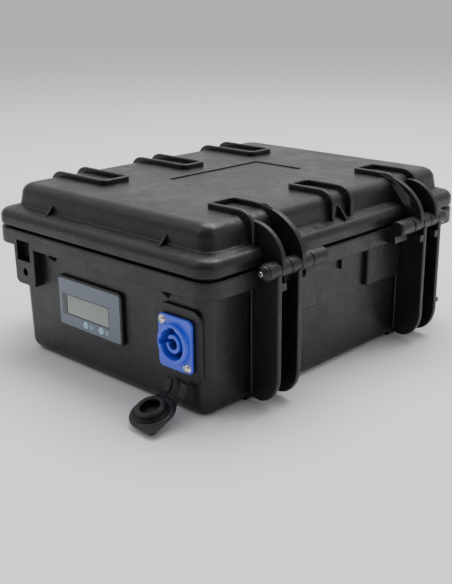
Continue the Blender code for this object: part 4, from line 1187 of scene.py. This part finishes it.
def ring_solid(name, profile, centre, steps=56):
    """A closed profile, as (radius, along +Y), carried round once."""
    bm = bmesh.new()
    rings = []
    for x, z in arc((0.0, 0.0), 1.0, 0, 360 * (steps - 1) / steps, steps - 1):
        rings.append([bm.verts.new((r * x * MM, along * MM, r * z * MM)) for r, along in profile])
    for index, ring in enumerate(rings):
        following = rings[(index + 1) % steps]
        for corner in range(len(profile)):
            after = (corner + 1) % len(profile)
            bm.faces.new((ring[corner], ring[after], following[after], following[corner]))
    bmesh.ops.translate(bm, vec=Vector(centre) * MM, verts=bm.verts[:])
    return to_object(name, bm)


# ---------------------------------------------------------------- stage and camera


def make_camera():
    """At the photograph's viewpoint, held with a slight tilt."""
    data = bpy.data.cameras.new("camera")
    data.lens = CAMERA_LENS
    data.sensor_width = 36.0
    data.clip_start, data.clip_end = 0.01, 20.0
    camera = in_scene("camera", data)
    turn = Matrix.Rotation(math.radians(CAMERA_YAW_DEG), 4, "Z")
    turn @= Matrix.Rotation(math.radians(90.0 - CAMERA_DOWN_DEG), 4, "X")
    turn @= Matrix.Rotation(math.radians(CAMERA_ROLL_DEG), 4, "Z")
    camera.matrix_world = Matrix.Translation(CAMERA_PLACE) @ turn
    bpy.context.scene.camera = camera


def area_light(name, place, target, size, watts):
    data = bpy.data.lights.new(name, "AREA")
    data.shape = "RECTANGLE"
    data.size, data.size_y = size
    data.energy = watts
    light = in_scene(name, data)
    light.location = place
    light.rotation_euler = (Vector(target) - Vector(place)).to_track_quat("-Z", "Y").to_euler()


def light_backdrop(tree):
    """A studio that is bright behind the object and dim on the photographer's side."""
    background = tree.nodes["Background"]
    background.inputs["Color"].default_value = rgb(0.95, 0.965, 1.0)
    toward = tree.nodes.new("ShaderNodeVectorMath")
    toward.operation = "DOT_PRODUCT"
    toward.inputs[1].default_value = (-0.67, 0.70, 0.25)
    ramp = tree.nodes.new("ShaderNodeMapRange")
    ramp.interpolation_type = "SMOOTHSTEP"
    limits = {"From Min": -0.75, "From Max": 0.75, "To Min": STUDIO_DIM, "To Max": STUDIO_BRIGHT}
    for socket, value in limits.items():
        ramp.inputs[socket].default_value = value
    direction = tree.nodes.new("ShaderNodeTexCoord").outputs["Generated"]
    tree.links.new(direction, toward.inputs[0])
    tree.links.new(toward.outputs["Value"], ramp.inputs["Value"])
    tree.links.new(ramp.outputs["Result"], background.inputs["Strength"])


def make_stage():
    bm = bmesh.new()
    bmesh.ops.create_grid(bm, x_segments=1, y_segments=1, size=20.0)
    floor = to_object("floor", bm)
    s = Surface("pale_floor", Roughness=0.85)
    s.colour(s.mix(s.noise(3.0), rgb(0.88, 0.88, 0.88), rgb(0.91, 0.91, 0.91)))
    floor.data.materials.append(s.material)
    world = bpy.data.worlds.new("studio")
    world.use_nodes = True
    light_backdrop(world.node_tree)
    bpy.context.scene.world = world
    area_light("key", (-0.55, -0.95, 1.15), (0.0, -0.05, 0.06), (0.8, 0.8), 2.6)
    area_light("side", (1.35, 0.1, 0.75), (0.05, 0.0, 0.06), (0.8, 1.0), 2.4)
    area_light("top", (-0.1, 0.45, 1.35), (0.0, 0.0, 0.1), (1.2, 0.9), 22.0)


make_camera()
make_stage()
make_base()
make_lid()
make_seal()
make_latches()
make_handle()
make_meter()
make_socket()
make_cap()
dress_cad_nodes()

bpy.context.view_layer.update()
